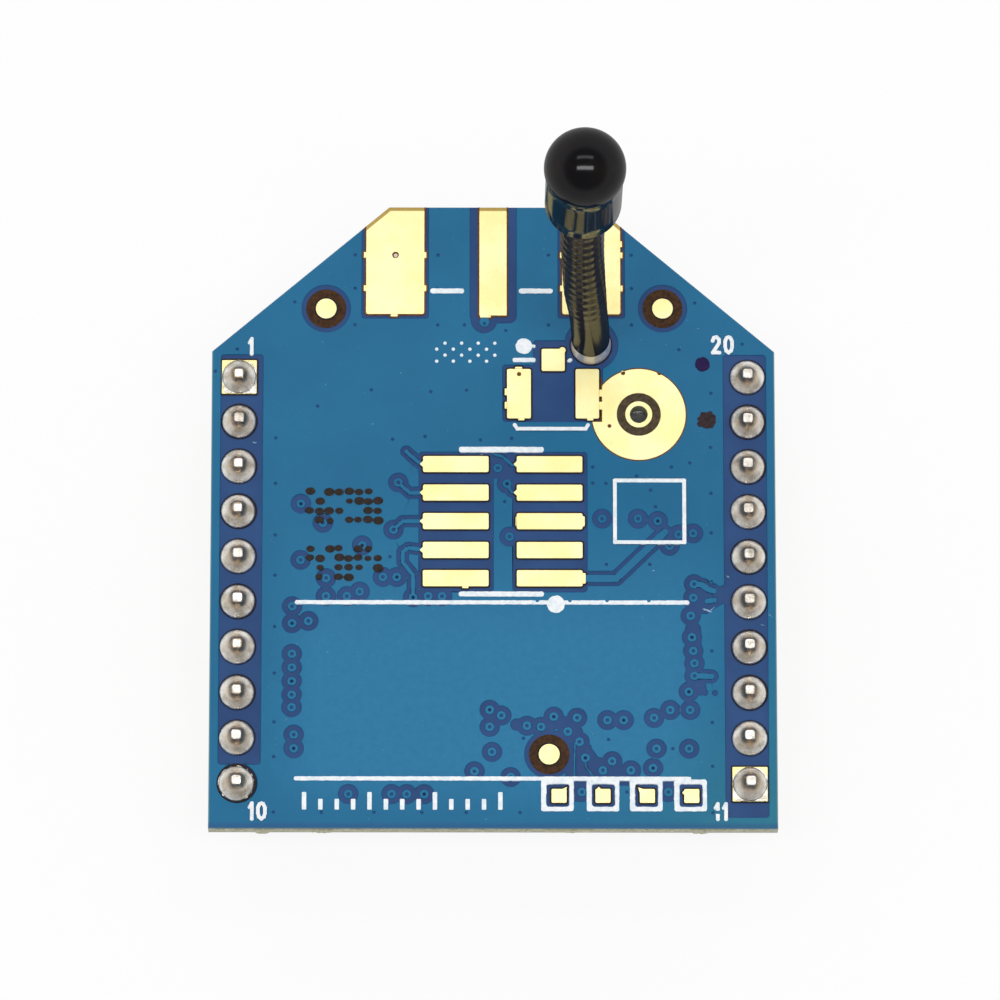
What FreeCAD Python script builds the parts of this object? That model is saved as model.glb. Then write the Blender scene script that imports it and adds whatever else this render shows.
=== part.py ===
import FreeCAD, Part
import math
import os
import re
import Sketcher

# A through-hole radio module: a sloped-nose laminate with two rows of square pins, a whip
# antenna soldered upright near the nose, and a folded can over the radio on the under face.
# The row frame stands on the pin tips: +X runs across the pin rows, +Y towards the nose, +Z up.
# Lengths are millimetres. Places on the board are counted from the middle of the pin grid.

sizes = {
    # Laminate
    "board_width": 24.38,  # laminate across the pin rows
    "board_length": 27.61,  # lower edge to nose edge
    "board_thickness": 0.8,  # laminate with its mask
    "shoulder_length": 21.1,  # straight side, lower edge to the slope
    "nose_width": 9.04,  # nose edge between the two slopes
    "nick_depth": 0.16,  # small chip in the right edge
    "nick_span": 0.34,  # length of the chip along the edge
    "nick_y": 1.0,  # chip, from the middle of the pin grid

    # Pin rows
    "pins_per_row": 10,  # pins in each row
    "pin_pitch": 2.0,  # pin to pin along a row
    "row_inset": 1.19,  # laminate side to the pin row
    "last_pin_inset": 1.95,  # lower edge to the last pin
    "pin_size": 0.5,  # side of the square pin
    "pin_taper": 0.14,  # chamfer at both pin tips
    "pin_reach": 4.1,  # pin below the header plastic
    "pin_rise": 0.8,  # pin tip above the laminate
    "header_width": 2.0,  # header plastic across the row
    "header_height": 2.4,  # header plastic, laminate to its seat
    "header_overrun": 1.0,  # header plastic past the end pins
    "header_notch": 0.4,  # depth of the vee between two pins
    "fit_gap": 0.01,  # clearance of a pin in its plastic, a joint in its land, the wire in its sleeve

    # Solder joints of the pins
    "joint_radius": 0.72,  # foot of the joint on its land
    "joint_height": 0.62,  # crown above the laminate
    "joint_crown": 0.44,  # radius of the crown at the pin
    "square_land": 1.54,  # side of the square land of a first pin

    # Copper, lands and print
    "foil_thickness": 0.04,  # copper pour with its mask
    "foil_inset": 0.22,  # laminate edge to the pour
    "land_thickness": 0.05,  # gold land on the laminate
    "land_border": 0.16,  # bare border round a land in the pour
    "print_thickness": 0.03,  # white printed film
    "strip_inner": 1.0,  # pin row to the pour beside it
    "strip_outer": 0.8,  # pin row to the pour outside it
    "strip_end": 1.0,  # bare strip past the first pin
    "strip_tail": 1.5,  # bare strip past the right row's last pin
    "last_pin_clearance": 0.95,  # bare circle round the left row's last pin, radius
    "edge_land_width": 2.56,  # outer lands of the edge connector
    "edge_land_overhang": 1.02,  # outer lands past the nose corner
    "edge_land_length": 4.84,  # edge lands, back from the nose edge
    "edge_mid_width": 1.22,  # middle land of the edge connector
    "edge_mid_length": 4.9,  # middle land, back from the nose edge
    "edge_mid_clearance": 1.0,  # grid middle to the pour beside the middle land
    "dot_radius": 0.465,  # gold alignment dot
    "dot_clearance": 1.05,  # bare ring round an alignment dot
    "dot_left_gap": 1.71,  # edge land to the left dot
    "dot_right_gap": 1.81,  # edge land to the right dot
    "dot_nose_inset": 4.56,  # nose edge to the two upper dots
    "dot_low_x": 2.4,  # lower dot
    "dot_low_rise": 3.25,  # lower edge to the lower dot

    # Program lands: two columns of five
    "program_rows": 5,  # lands in a column
    "program_pitch": 1.27,  # land to land in a column
    "program_inset": 11.54,  # nose edge to the first land
    "program_width": 2.87,  # length of a program land
    "program_height": 0.75,  # height of a program land
    "program_left_x": -1.615,  # middle of the left column
    "program_right_x": 2.435,  # middle of the right column
    "program_border": 0.16,  # bare field round a column

    # Small coax connector site and the probe disc beside it
    "coax_offset": 3.7,  # probe disc to the middle of the connector site
    "coax_inset": 8.39,  # nose edge to the middle of its two side lands
    "coax_side_width": 1.06,  # side land across
    "coax_side_length": 2.24,  # side land along
    "coax_side_gap": 1.9,  # between the two side lands
    "coax_signal": 1.04,  # side of the signal land
    "coax_signal_inset": 6.875,  # nose edge to the middle of the signal land
    "coax_border": 0.15,  # bare field round the connector lands
    "probe_row_gap": 4.7,  # right pin row to the probe disc
    "probe_inset": 9.31,  # nose edge to the probe disc
    "probe_radius": 2.05,  # outer gold of the probe disc
    "probe_ring_outer": 0.94,  # dark ring, outer radius
    "probe_ring_inner": 0.6,  # dark ring, inner radius
    "probe_bore": 0.37,  # plated hole in the disc, radius
    "bridge_gap": 0.12,  # dark gap from the side land to the disc
    "bridge_width": 0.34,  # each gold bridge over the gap
    "bridge_rise": 0.03,  # upper gold bridge over the side land's middle
    "bridge_drop": 0.52,  # lower gold bridge under the side land's middle

    # Jumper lands
    "jumper_count": 4,  # jumper lands in their row
    "jumper_pitch": 1.893,  # jumper to jumper
    "jumper_row_gap": 2.5,  # right pin row to the last jumper
    "jumper_rise": 1.45,  # lower edge to the jumper row
    "jumper_side": 0.74,  # side of a jumper land
    "jumper_clearance": 1.06,  # side of the bare square round it
    "box_side": 1.42,  # printed box round a jumper, outside
    "line_width": 0.22,  # printed line

    # Printed lines
    "long_line_gap": 2.5,  # pin row to the ends of the long lines across the label area
    "long_line_top_inset": 17.68,  # nose edge to the upper long line
    "long_line_low_rise": 2.18,  # lower edge to the lower long line
    "program_line_length": 3.7,  # short lines over and under the program lands
    "program_line_x": 0.35,  # middle of those lines
    "program_line_top_inset": 10.89,  # nose edge to the line over the program lands
    "program_line_low_inset": 17.31,  # nose edge to the line under the program lands
    "nose_line_length": 1.5,  # lines between the edge lands
    "nose_line_inset": 3.78,  # nose edge to the lines between the edge lands
    "nose_line_left_x": -2.0,  # left of the two
    "nose_line_right_x": 1.85,  # right of the two
    "index_dot_radius": 0.37,  # printed dot by the connector site
    "index_offset": 1.27,  # connector site's middle to the printed dot and bar
    "index_dot_inset": 6.26,  # nose edge to that dot
    "index_bar_length": 1.0,  # printed bar under that dot
    "index_bar_inset": 6.88,  # nose edge to the printed bar under it
    "bracket_drop": 1.55,  # bracket under the connector site's middle
    "bracket_length": 3.36,  # bracket under the connector site
    "bracket_ear": 0.36,  # turned-up ends of the bracket
    "centre_dot_x": 2.7,  # printed dot on the upper long line
    "centre_dot_radius": 0.38,  # printed dot on the upper long line

    # Whip antenna
    "whip_offset": 2.08,  # probe disc to the foot of the whip
    "whip_inset": 6.21,  # nose edge to the foot of the whip
    "whip_bore": 1.2,  # hole for the wire
    "whip_clearance": 1.15,  # bare circle round the whip, radius
    "wire_diameter": 0.9,  # wire of the whip
    "wire_tail": 0.5,  # wire below the laminate
    "whip_drift": 0.67,  # sideways drift of the whip from foot to cap
    "sleeve_diameter": 1.68,  # smooth sleeve
    "sleeve_start": 1.2,  # foot of the sleeve above the laminate
    "cap_rim": 22.3,  # cap's open rim above the laminate
    "cap_grip": 2.0,  # sleeve inside the cap
    "cap_diameter": 3.14,  # cap's cylinder
    "cap_swell": 0.09,  # ball end past the cap's cylinder, radius
    "cap_length": 5.0,  # rim to the middle of the ball
    "cap_rim_bevel": 0.15,  # bevel of the rim
    "cap_play": 0.08,  # clearance of the leaning whip in the upright cap
    "wire_end": 1.0,  # wire inside the cap, past the sleeve
    "foot_radius": 0.85,  # whip's solder on its land
    "foot_height": 1.1,  # whip's solder above the laminate
    "foot_shoulder": 0.8,  # radius of that solder half way up
    "foot_crown": 0.66,  # radius of that solder at its top

    # Shield can
    "can_side_gap": 1.2,  # header to the can
    "can_nose_gap": 0.94,  # whip's bare circle to the can
    "can_low_gap": 1.35,  # lower edge to the can
    "can_seat_gap": 0.4,  # can above the headers' seat
    "can_wall": 0.2,  # sheet of the can
    "can_bend": 0.35,  # outer bend radius of the folded edge
    "can_slit": 0.3,  # slit at each folded corner
    "can_slit_height": 1.3,  # slit, up from the laminate

    # What the can covers
    "chip_side": 7.0,  # radio chip
    "chip_height": 0.85,  # radio chip
    "chip_x": -1.2,  # radio chip
    "chip_drop": 0.2,  # middle of the can to the radio chip
    "crystal_length": 3.2,  # clock crystal
    "crystal_width": 2.5,  # clock crystal
    "crystal_base": 0.45,  # ceramic base of the crystal
    "crystal_lid": 0.25,  # metal lid of the crystal
    "crystal_ledge": 0.2,  # ceramic showing round the lid
    "filter_length": 2.0,  # balun and band filter
    "filter_width": 1.25,  # balun and band filter
    "filter_height": 0.85,  # balun and band filter
    "filter_gap": 1.2,  # balun to band filter
    "regulator_length": 2.9,  # voltage regulator
    "regulator_width": 1.6,  # voltage regulator
    "regulator_height": 1.05,  # voltage regulator with its stand-off
    "regulator_lift": 0.1,  # regulator body off the laminate
    "leg_width": 0.4,  # regulator leg
    "leg_reach": 0.6,  # regulator leg past its body
    "leg_pitch": 0.95,  # regulator leg pitch
    "leg_sheet": 0.15,  # regulator leg thickness
    "tank_length": 2.0,  # supply capacitor
    "tank_width": 1.25,  # supply capacitor
    "tank_height": 1.2,  # supply capacitor
    "tank_gap": 0.4,  # regulator to supply capacitor
    "chip_part_length": 1.0,  # small capacitor, resistor or coil
    "chip_part_width": 0.5,  # small capacitor, resistor or coil
    "capacitor_height": 0.5,  # small capacitor
    "resistor_height": 0.35,  # small resistor
    "coil_height": 0.55,  # small coil
    "chip_part_pitch": 1.15,  # small part to small part in a row
    "coil_pitch": 0.85,  # coil to coil
    "chip_part_gap": 0.5,  # chip's side to the parts round it
}

doc = FreeCAD.newDocument("RadioModule")
sheet = doc.addObject("Spreadsheet::Sheet", "Sizes")
for line, (alias, value) in enumerate(sizes.items(), 1):
    sheet.set("A%d" % line, alias)
    sheet.set("B%d" % line, str(value))
    sheet.setAlias("B%d" % line, alias)
doc.recompute()

# Heights and places that follow from the sizes
places = {
    "under_face": "pin_reach + header_height",
    "top_face": "under_face + board_thickness",
    "half_row": "(pins_per_row - 1)*pin_pitch/2",
    "row_x": "board_width/2 - row_inset",
    "lower_edge": "-half_row - last_pin_inset",
    "nose_edge": "lower_edge + board_length",
    "shoulder": "lower_edge + shoulder_length",
    "grid_middle": "-(lower_edge + nose_edge)/2",
    "edge_land_outer": "nose_width/2 + edge_land_overhang",
    "edge_land_inner": "edge_land_outer - edge_land_width",
    "dot_nose_y": "nose_edge - dot_nose_inset",
    "dot_left_x": "-edge_land_outer - dot_left_gap",
    "dot_right_x": "edge_land_outer + dot_right_gap",
    "dot_low_y": "lower_edge + dot_low_rise",
    "program_top_y": "nose_edge - program_inset",
    "probe_x": "row_x - probe_row_gap",
    "probe_y": "nose_edge - probe_inset",
    "coax_x": "probe_x - coax_offset",
    "coax_y": "nose_edge - coax_inset",
    "coax_signal_y": "nose_edge - coax_signal_inset",
    "whip_x": "probe_x - whip_offset",
    "whip_y": "nose_edge - whip_inset",
    "long_line_top_y": "nose_edge - long_line_top_inset",
    "long_line_low_y": "lower_edge + long_line_low_rise",
    "bracket_y": "coax_y - bracket_drop",
    "index_x": "coax_x - index_offset",
    "jumper_x": "row_x - jumper_row_gap - (jumper_count - 1)*jumper_pitch",
    "jumper_y": "lower_edge + jumper_rise",
    "long_line_length": "2*(row_x - long_line_gap)",
    "cap_ball_height": "cap_rim + cap_length",
    "can_width": "2*(row_x - header_width/2 - can_side_gap)",
    "can_nose_side": "whip_y - whip_clearance - can_nose_gap",
    "can_low_side": "lower_edge + can_low_gap",
    "can_length": "can_nose_side - can_low_side",
    "can_y": "(can_nose_side + can_low_side)/2",
    "can_height": "header_height - can_seat_gap",
    "chip_y": "can_y - chip_drop",
    "above_chip_y": "chip_y + chip_side/2 + chip_part_gap",
    "below_chip_y": "chip_y - chip_side/2 - chip_part_gap",
    "beside_chip_x": "chip_x + chip_side/2 + chip_part_gap",
    "regulator_x": "beside_chip_x + leg_reach + regulator_width/2",
    "regulator_y": "chip_y - chip_side/2 + regulator_length/2",
}

sub_parts = []


def bound(text):
    """Write out the places in an expression and point each size at its cell."""
    def written(word):
        name = word.group()
        if name in places:
            return "(" + bound(places[name]) + ")"
        return "Sizes." + name if name in sizes else name
    return re.sub(r"[a-z_]+", written, text)


def worth(text):
    """The present value of an expression of sizes."""
    return float(sheet.evalExpression(bound(text)))


def tie(target, path, text):
    """Bind one property of an object to an expression of sizes."""
    target.setExpression(path, bound(text))


def place(target, x="0", y="0", z="0"):
    """Bind where a sub-part stands."""
    tie(target, "Placement.Base.x", x)
    tie(target, "Placement.Base.y", y)
    tie(target, "Placement.Base.z", z)


def new_body(label, x="0", y="grid_middle", z="top_face"):
    """A sub-part's body, standing at the middle of the pin grid unless told otherwise."""
    made = doc.addObject("PartDesign::Body", label)
    made.Label = label
    made.AllowCompound = True
    place(made, x, y, z)
    sub_parts.append(made)
    return made


def new_sketch(body, name, plane="XY_Plane", lift=None):
    """A sketch on one of the body's own planes, lifted off it along the plane's normal."""
    made = body.newObject("Sketcher::SketchObject", body.Label + "_" + name)
    datum = next(item for item in body.Origin.OriginFeatures if item.Role == plane)
    made.AttachmentSupport = (datum, [""])
    made.MapMode = "FlatFace"
    if lift:
        tie(made, "AttachmentOffset.Base.z", lift)
    return made


def pin_point(sketch, element, point, x, y):
    """Hold a sketch point at its distances from the origin."""
    for kind, text in (("DistanceX", x), ("DistanceY", y)):
        held = sketch.addConstraint(Sketcher.Constraint(kind, -1, 1, element, point, worth(text)))
        tie(sketch, "Constraints[%d]" % held, text)


def outline(sketch, corners, arcs=None):
    """A closed outline through its corners, counter-clockwise.

    An entry of arcs gives the side that starts at that corner a radius; its sign is plus where
    the side swells outwards."""
    arcs = arcs or {}
    spots = [FreeCAD.Vector(worth(x), worth(y), 0) for x, y in corners]
    sides = []
    for number, start in enumerate(spots):
        end = spots[(number + 1) % len(spots)]
        if number not in arcs:
            line = sketch.addGeometry(Part.LineSegment(start, end), False)
            sides.append((line, 1, 2))
            continue
        radius, swell = arcs[number]
        reach = worth(radius)
        across = FreeCAD.Vector(start.y - end.y, end.x - start.x, 0)
        half_chord = across.Length/2
        across.normalize()
        centre = (start + end)/2 + across*swell*math.sqrt(reach**2 - half_chord**2)
        first, last = (start, end) if swell > 0 else (end, start)
        angles = [math.atan2(spot.y - centre.y, spot.x - centre.x) for spot in (first, last)]
        circle = Part.Circle(centre, FreeCAD.Vector(0, 0, 1), reach)
        arc = sketch.addGeometry(Part.ArcOfCircle(circle, angles[0], angles[1]), False)
        held = sketch.addConstraint(Sketcher.Constraint("Radius", arc, reach))
        tie(sketch, "Constraints[%d]" % held, radius)
        sides.append((arc, 1, 2) if swell > 0 else (arc, 2, 1))
    for (side, _, end), (following, start, _) in zip(sides, sides[1:] + sides[:1]):
        sketch.addConstraint(Sketcher.Constraint("Coincident", side, end, following, start))
    for (side, start, _), (x, y) in zip(sides, corners):
        pin_point(sketch, side, start, x, y)


def block(sketch, x, y, width, height):
    """A rectangle given by its middle and its two sides."""
    left, right = "%s - (%s)/2" % (x, width), "%s + (%s)/2" % (x, width)
    low, high = "%s - (%s)/2" % (y, height), "%s + (%s)/2" % (y, height)
    outline(sketch, [(left, low), (right, low), (right, high), (left, high)])


def span(sketch, left, low, right, high):
    """A rectangle given by its four edges."""
    outline(sketch, [(left, low), (right, low), (right, high), (left, high)])


def disc(sketch, x, y, radius):
    """A circle given by its middle and radius."""
    middle = FreeCAD.Vector(worth(x), worth(y), 0)
    circle = Part.Circle(middle, FreeCAD.Vector(0, 0, 1), worth(radius))
    element = sketch.addGeometry(circle, False)
    held = sketch.addConstraint(Sketcher.Constraint("Radius", element, worth(radius)))
    tie(sketch, "Constraints[%d]" % held, radius)
    pin_point(sketch, element, 3, x, y)


def raise_pad(body, sketch, depth, flip=False):
    """Add the sketch's shape to the body."""
    made = body.newObject("PartDesign::Pad", sketch.Name + "_pad")
    made.Profile = sketch
    made.Reversed = flip
    tie(made, "Length", depth)
    body.Tip = made
    return made


def cut_pocket(body, sketch, depth=None, flip=False):
    """Take the sketch's shape out of the body, right through when no depth is given."""
    made = body.newObject("PartDesign::Pocket", sketch.Name + "_pocket")
    made.Profile = sketch
    made.Reversed = flip
    if depth:
        tie(made, "Length", depth)
    else:
        made.Type = "ThroughAll"
    body.Tip = made
    return made


def turn(body, sketch, axis="V_Axis"):
    """Turn the sketch's shape a full circle round one of its axes."""
    made = body.newObject("PartDesign::Revolution", sketch.Name + "_turn")
    made.Profile = sketch
    made.ReferenceAxis = (sketch, [axis])
    made.Angle = 360
    body.Tip = made
    return made


def repeat(body, features, direction, count, spacing, backwards=False):
    """Repeat features in a straight line."""
    made = body.newObject("PartDesign::LinearPattern", body.Label + "_row")
    made.Originals = features
    made.Direction = direction
    made.Mode = "Spacing"
    made.Reversed = backwards
    tie(made, "Occurrences", count)
    tie(made, "Offset", spacing)
    body.Tip = made
    return made


def solid_block(name, x, y, z, length, width, height):
    """A plain block given by the middle of its foot."""
    made = doc.addObject("Part::Box", name)
    tie(made, "Length", length)
    tie(made, "Width", width)
    tie(made, "Height", height)
    place(made, "%s - (%s)/2" % (x, length), "%s - (%s)/2" % (y, width), z)
    return made


def group(label, members):
    """Like pieces that share one sub-part, each its own solid."""
    made = doc.addObject("Part::Compound", label)
    made.Label = label
    made.Links = members
    sub_parts.append(made)
    return made


def make_circuit_board():
    """The laminate: sloped nose, a chip in its right edge, and holes that solder fills to the pins."""
    body = new_body("circuit_board", z="under_face")
    flat = new_sketch(body, "outline")
    outline(flat, [("-board_width/2", "lower_edge"), ("board_width/2", "lower_edge"),
                   ("board_width/2", "shoulder"), ("nose_width/2", "nose_edge"),
                   ("-nose_width/2", "nose_edge"), ("-board_width/2", "shoulder")])
    raise_pad(body, flat, "board_thickness")
    pins = new_sketch(body, "pin_holes", lift="board_thickness")
    block(pins, "-row_x", "-half_row", "pin_size", "pin_size")
    block(pins, "row_x", "-half_row", "pin_size", "pin_size")
    first = cut_pocket(body, pins)
    repeat(body, [first], (pins, ["V_Axis"]), "pins_per_row", "pin_pitch")
    holes = new_sketch(body, "whip_and_probe", lift="board_thickness")
    disc(holes, "whip_x", "whip_y", "whip_bore/2")
    disc(holes, "probe_x", "probe_y", "probe_bore")
    cut_pocket(body, holes)
    nick = new_sketch(body, "nick", lift="board_thickness")
    outline(nick, [("board_width/2 + nick_depth", "nick_y - nick_span"),
                   ("board_width/2 + nick_depth", "nick_y + nick_span"),
                   ("board_width/2 - nick_depth", "nick_y")])
    cut_pocket(body, nick)


def edge_land_corners(side, grow):
    """One outer edge land, its outer corner cut by the slope; grow widens it for a clearance."""
    inner = "%d*(edge_land_inner - %s)" % (side, grow)
    outer = "%d*(edge_land_outer + %s)" % (side, grow)
    back = "nose_edge - edge_land_length - " + grow
    slope = "(board_width - nose_width)/2/(board_length - shoulder_length)"
    over = "(edge_land_overhang + %s)" % grow
    corner = "%d*(nose_width/2)" % side
    return [(inner, back), (outer, back), (outer, "nose_edge - " + over + "/(" + slope + ")"),
            (corner, "nose_edge"), (inner, "nose_edge")]


def make_ground_foil():
    """The top pour, cleared round the pins, lands, dots, whip and program fields."""
    body = new_body("ground_foil")
    flat = new_sketch(body, "outline")
    outline(flat, [("foil_inset - board_width/2", "lower_edge + foil_inset"),
                   ("board_width/2 - foil_inset", "lower_edge + foil_inset"),
                   ("board_width/2 - foil_inset", "shoulder - foil_inset/2"),
                   ("nose_width/2 - foil_inset/2", "nose_edge - foil_inset"),
                   ("foil_inset/2 - nose_width/2", "nose_edge - foil_inset"),
                   ("foil_inset - board_width/2", "shoulder - foil_inset/2")])
    raise_pad(body, flat, "foil_thickness")
    strips = new_sketch(body, "strips", lift="foil_thickness")
    first_end = "half_row + strip_end"
    span(strips, "-row_x - strip_outer", "last_pin_clearance/2 - half_row",
         "strip_inner - row_x", first_end)
    span(strips, "row_x - strip_inner", "-half_row - strip_tail", "row_x + strip_outer", first_end)
    cut_pocket(body, strips)
    last = new_sketch(body, "last_pin", lift="foil_thickness")
    disc(last, "-row_x", "-half_row", "last_pin_clearance")
    cut_pocket(body, last)
    nose = new_sketch(body, "nose_lands", lift="foil_thickness")
    outline(nose, edge_land_corners(1, "land_border"))
    outline(nose, edge_land_corners(-1, "land_border"))
    span(nose, "-edge_mid_clearance", "nose_edge - edge_mid_length - land_border",
         "edge_mid_clearance", "nose_edge")
    cut_pocket(body, nose)
    rounds = new_sketch(body, "rounds", lift="foil_thickness")
    disc(rounds, "dot_left_x", "dot_nose_y", "dot_clearance")
    disc(rounds, "dot_right_x", "dot_nose_y", "dot_clearance")
    disc(rounds, "dot_low_x", "dot_low_y", "dot_clearance")
    disc(rounds, "whip_x", "whip_y", "whip_clearance")
    cut_pocket(body, rounds)
    probe = new_sketch(body, "probe", lift="foil_thickness")
    disc(probe, "probe_x", "probe_y", "probe_radius + fit_gap")
    cut_pocket(body, probe)
    columns = new_sketch(body, "program_fields", lift="foil_thickness")
    middle = "program_top_y - (program_rows - 1)*program_pitch/2"
    tall = "(program_rows - 1)*program_pitch + program_height + 2*program_border"
    block(columns, "program_left_x", middle, "program_width + 2*program_border", tall)
    block(columns, "program_right_x", middle, "program_width + 2*program_border", tall)
    cut_pocket(body, columns)
    site = new_sketch(body, "coax_site", lift="foil_thickness")
    block(site, "coax_x", "coax_y", "coax_side_gap + 2*coax_side_width + 2*coax_border",
          "coax_side_length + 2*coax_border")
    cut_pocket(body, site)
    signal = new_sketch(body, "coax_signal", lift="foil_thickness")
    span(signal, "coax_x - coax_signal/2 - coax_border", "coax_y", "whip_x",
         "coax_signal_y + coax_signal/2 + coax_border")
    cut_pocket(body, signal)
    jumpers = new_sketch(body, "jumpers", lift="foil_thickness")
    block(jumpers, "jumper_x", "jumper_y", "jumper_clearance", "jumper_clearance")
    first = cut_pocket(body, jumpers)
    repeat(body, [first], (jumpers, ["H_Axis"]), "jumper_count", "jumper_pitch")


def make_edge_lands(label, level, upside_down):
    """The three lands of an edge connector on one face of the nose."""
    body = new_body(label, z=level)
    flat = new_sketch(body, "lands")
    outline(flat, edge_land_corners(1, "0"))
    outline(flat, edge_land_corners(-1, "0"))
    if upside_down:
        raise_pad(body, flat, "land_thickness", flip=True)
        return
    span(flat, "-edge_mid_width/2", "nose_edge - edge_mid_length", "edge_mid_width/2", "nose_edge")
    raise_pad(body, flat, "land_thickness")


def make_program_lands():
    """Two columns of long lands."""
    body = new_body("program_lands")
    flat = new_sketch(body, "lands")
    for row in range(round(worth("program_rows"))):
        y = "program_top_y - %d*program_pitch" % row
        block(flat, "program_left_x", y, "program_width", "program_height")
        block(flat, "program_right_x", y, "program_width", "program_height")
    raise_pad(body, flat, "land_thickness")


def make_connector_lands():
    """Two side lands and one signal land of the small coax connector."""
    body = new_body("connector_lands")
    flat = new_sketch(body, "lands")
    reach = "(coax_side_gap + coax_side_width)/2"
    block(flat, "coax_x - " + reach, "coax_y", "coax_side_width", "coax_side_length")
    block(flat, "coax_x + " + reach, "coax_y", "coax_side_width", "coax_side_length")
    block(flat, "coax_x", "coax_signal_y", "coax_signal", "coax_signal")
    raise_pad(body, flat, "land_thickness")


def make_probe_land():
    """The probe disc: outer gold, dark ring, inner gold, and bridges to the side land."""
    body = new_body("probe_land")
    flat = new_sketch(body, "disc")
    disc(flat, "probe_x", "probe_y", "probe_radius")
    raise_pad(body, flat, "land_thickness")
    land_edge = "(coax_x + coax_side_gap/2 + coax_side_width)"
    notch = new_sketch(body, "notch", lift="land_thickness")
    span(notch, land_edge + " - probe_radius", "coax_y - coax_side_length/2 - bridge_gap",
         land_edge + " + bridge_gap", "coax_y + coax_side_length/2 + probe_radius")
    cut_pocket(body, notch)
    bridges = new_sketch(body, "bridges")
    for middle in ("coax_y + bridge_rise", "coax_y - bridge_drop"):
        block(bridges, land_edge + " + bridge_gap", middle, "2*bridge_gap", "bridge_width")
    raise_pad(body, bridges, "land_thickness")
    ring = new_sketch(body, "ring", lift="land_thickness")
    disc(ring, "probe_x", "probe_y", "probe_ring_outer")
    disc(ring, "probe_x", "probe_y", "probe_ring_inner")
    cut_pocket(body, ring)
    bore = new_sketch(body, "bore", lift="land_thickness")
    disc(bore, "probe_x", "probe_y", "probe_bore")
    cut_pocket(body, bore)


def make_reference_dots():
    """Three round alignment dots."""
    body = new_body("reference_dots")
    flat = new_sketch(body, "dots")
    disc(flat, "dot_left_x", "dot_nose_y", "dot_radius")
    disc(flat, "dot_right_x", "dot_nose_y", "dot_radius")
    disc(flat, "dot_low_x", "dot_low_y", "dot_radius")
    raise_pad(body, flat, "land_thickness")


def make_jumper_lands():
    """A row of small square lands."""
    body = new_body("jumper_lands")
    flat = new_sketch(body, "lands")
    for spot in range(round(worth("jumper_count"))):
        block(flat, "jumper_x + %d*jumper_pitch" % spot, "jumper_y", "jumper_side", "jumper_side")
    raise_pad(body, flat, "land_thickness")


def make_square_lands():
    """The square lands of the first pin of each row, at opposite ends."""
    body = new_body("square_lands")
    flat = new_sketch(body, "lands")
    block(flat, "-row_x", "half_row", "square_land", "square_land")
    disc(flat, "-row_x", "half_row", "joint_radius + fit_gap")
    block(flat, "row_x", "-half_row", "square_land", "square_land")
    disc(flat, "row_x", "-half_row", "joint_radius + fit_gap")
    raise_pad(body, flat, "land_thickness")


def make_printed_marks():
    """White printed lines, dots, the bracket and the jumper boxes."""
    body = new_body("printed_marks", z="top_face + foil_thickness")
    flat = new_sketch(body, "marks")
    block(flat, "0", "long_line_low_y", "long_line_length", "line_width")
    for inset in ("program_line_top_inset", "program_line_low_inset"):
        block(flat, "program_line_x", "nose_edge - " + inset, "program_line_length", "line_width")
    for x in ("nose_line_left_x", "nose_line_right_x"):
        block(flat, x, "nose_edge - nose_line_inset", "nose_line_length", "line_width")
    disc(flat, "index_x", "nose_edge - index_dot_inset", "index_dot_radius")
    block(flat, "index_x", "nose_edge - index_bar_inset", "index_bar_length", "line_width")
    left, right = "coax_x - bracket_length/2", "coax_x + bracket_length/2"
    low, step = "bracket_y - line_width/2", "bracket_y + line_width/2"
    high = "bracket_y + bracket_ear"
    outline(flat, [(left, low), (right, low), (right, high), (right + " - line_width", high),
                   (right + " - line_width", step), (left + " + line_width", step),
                   (left + " + line_width", high), (left, high)])
    raise_pad(body, flat, "print_thickness")
    crossing = new_sketch(body, "crossing")
    block(crossing, "0", "long_line_top_y", "long_line_length", "line_width")
    raise_pad(body, crossing, "print_thickness")
    centre = new_sketch(body, "centre_dot")
    disc(centre, "centre_dot_x", "long_line_top_y", "centre_dot_radius")
    raise_pad(body, centre, "print_thickness")
    boxes = new_sketch(body, "boxes")
    for spot in range(round(worth("jumper_count"))):
        x = "jumper_x + %d*jumper_pitch" % spot
        block(boxes, x, "jumper_y", "box_side", "box_side")
        block(boxes, x, "jumper_y", "box_side - 2*line_width", "box_side - 2*line_width")
    raise_pad(body, boxes, "print_thickness")


def make_header(label, side):
    """A header strip: vees on both sides between the pins, and square pin holes."""
    body = new_body(label, x="%d*row_x" % side, z="pin_reach")
    flat = new_sketch(body, "strip")
    long_half = "half_row + header_overrun"
    span(flat, "-header_width/2", "-(%s)" % long_half, "header_width/2", long_half)
    raise_pad(body, flat, "header_height")
    vees = new_sketch(body, "vees", lift="header_height")
    between = "pin_pitch/2 - half_row"
    for edge in (-1, 1):
        wall = "%d*header_width/2" % edge
        outline(vees, [(wall, between + " - header_notch"),
                       (wall, between + " + header_notch"),
                       ("%d*(header_width/2 - header_notch)" % edge, between)])
    first = cut_pocket(body, vees)
    repeat(body, [first], (vees, ["V_Axis"]), "pins_per_row - 1", "pin_pitch")
    hole = new_sketch(body, "hole", lift="header_height")
    block(hole, "0", "-half_row", "pin_size + 2*fit_gap", "pin_size + 2*fit_gap")
    bore = cut_pocket(body, hole)
    repeat(body, [bore], (hole, ["V_Axis"]), "pins_per_row", "pin_pitch")


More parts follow.
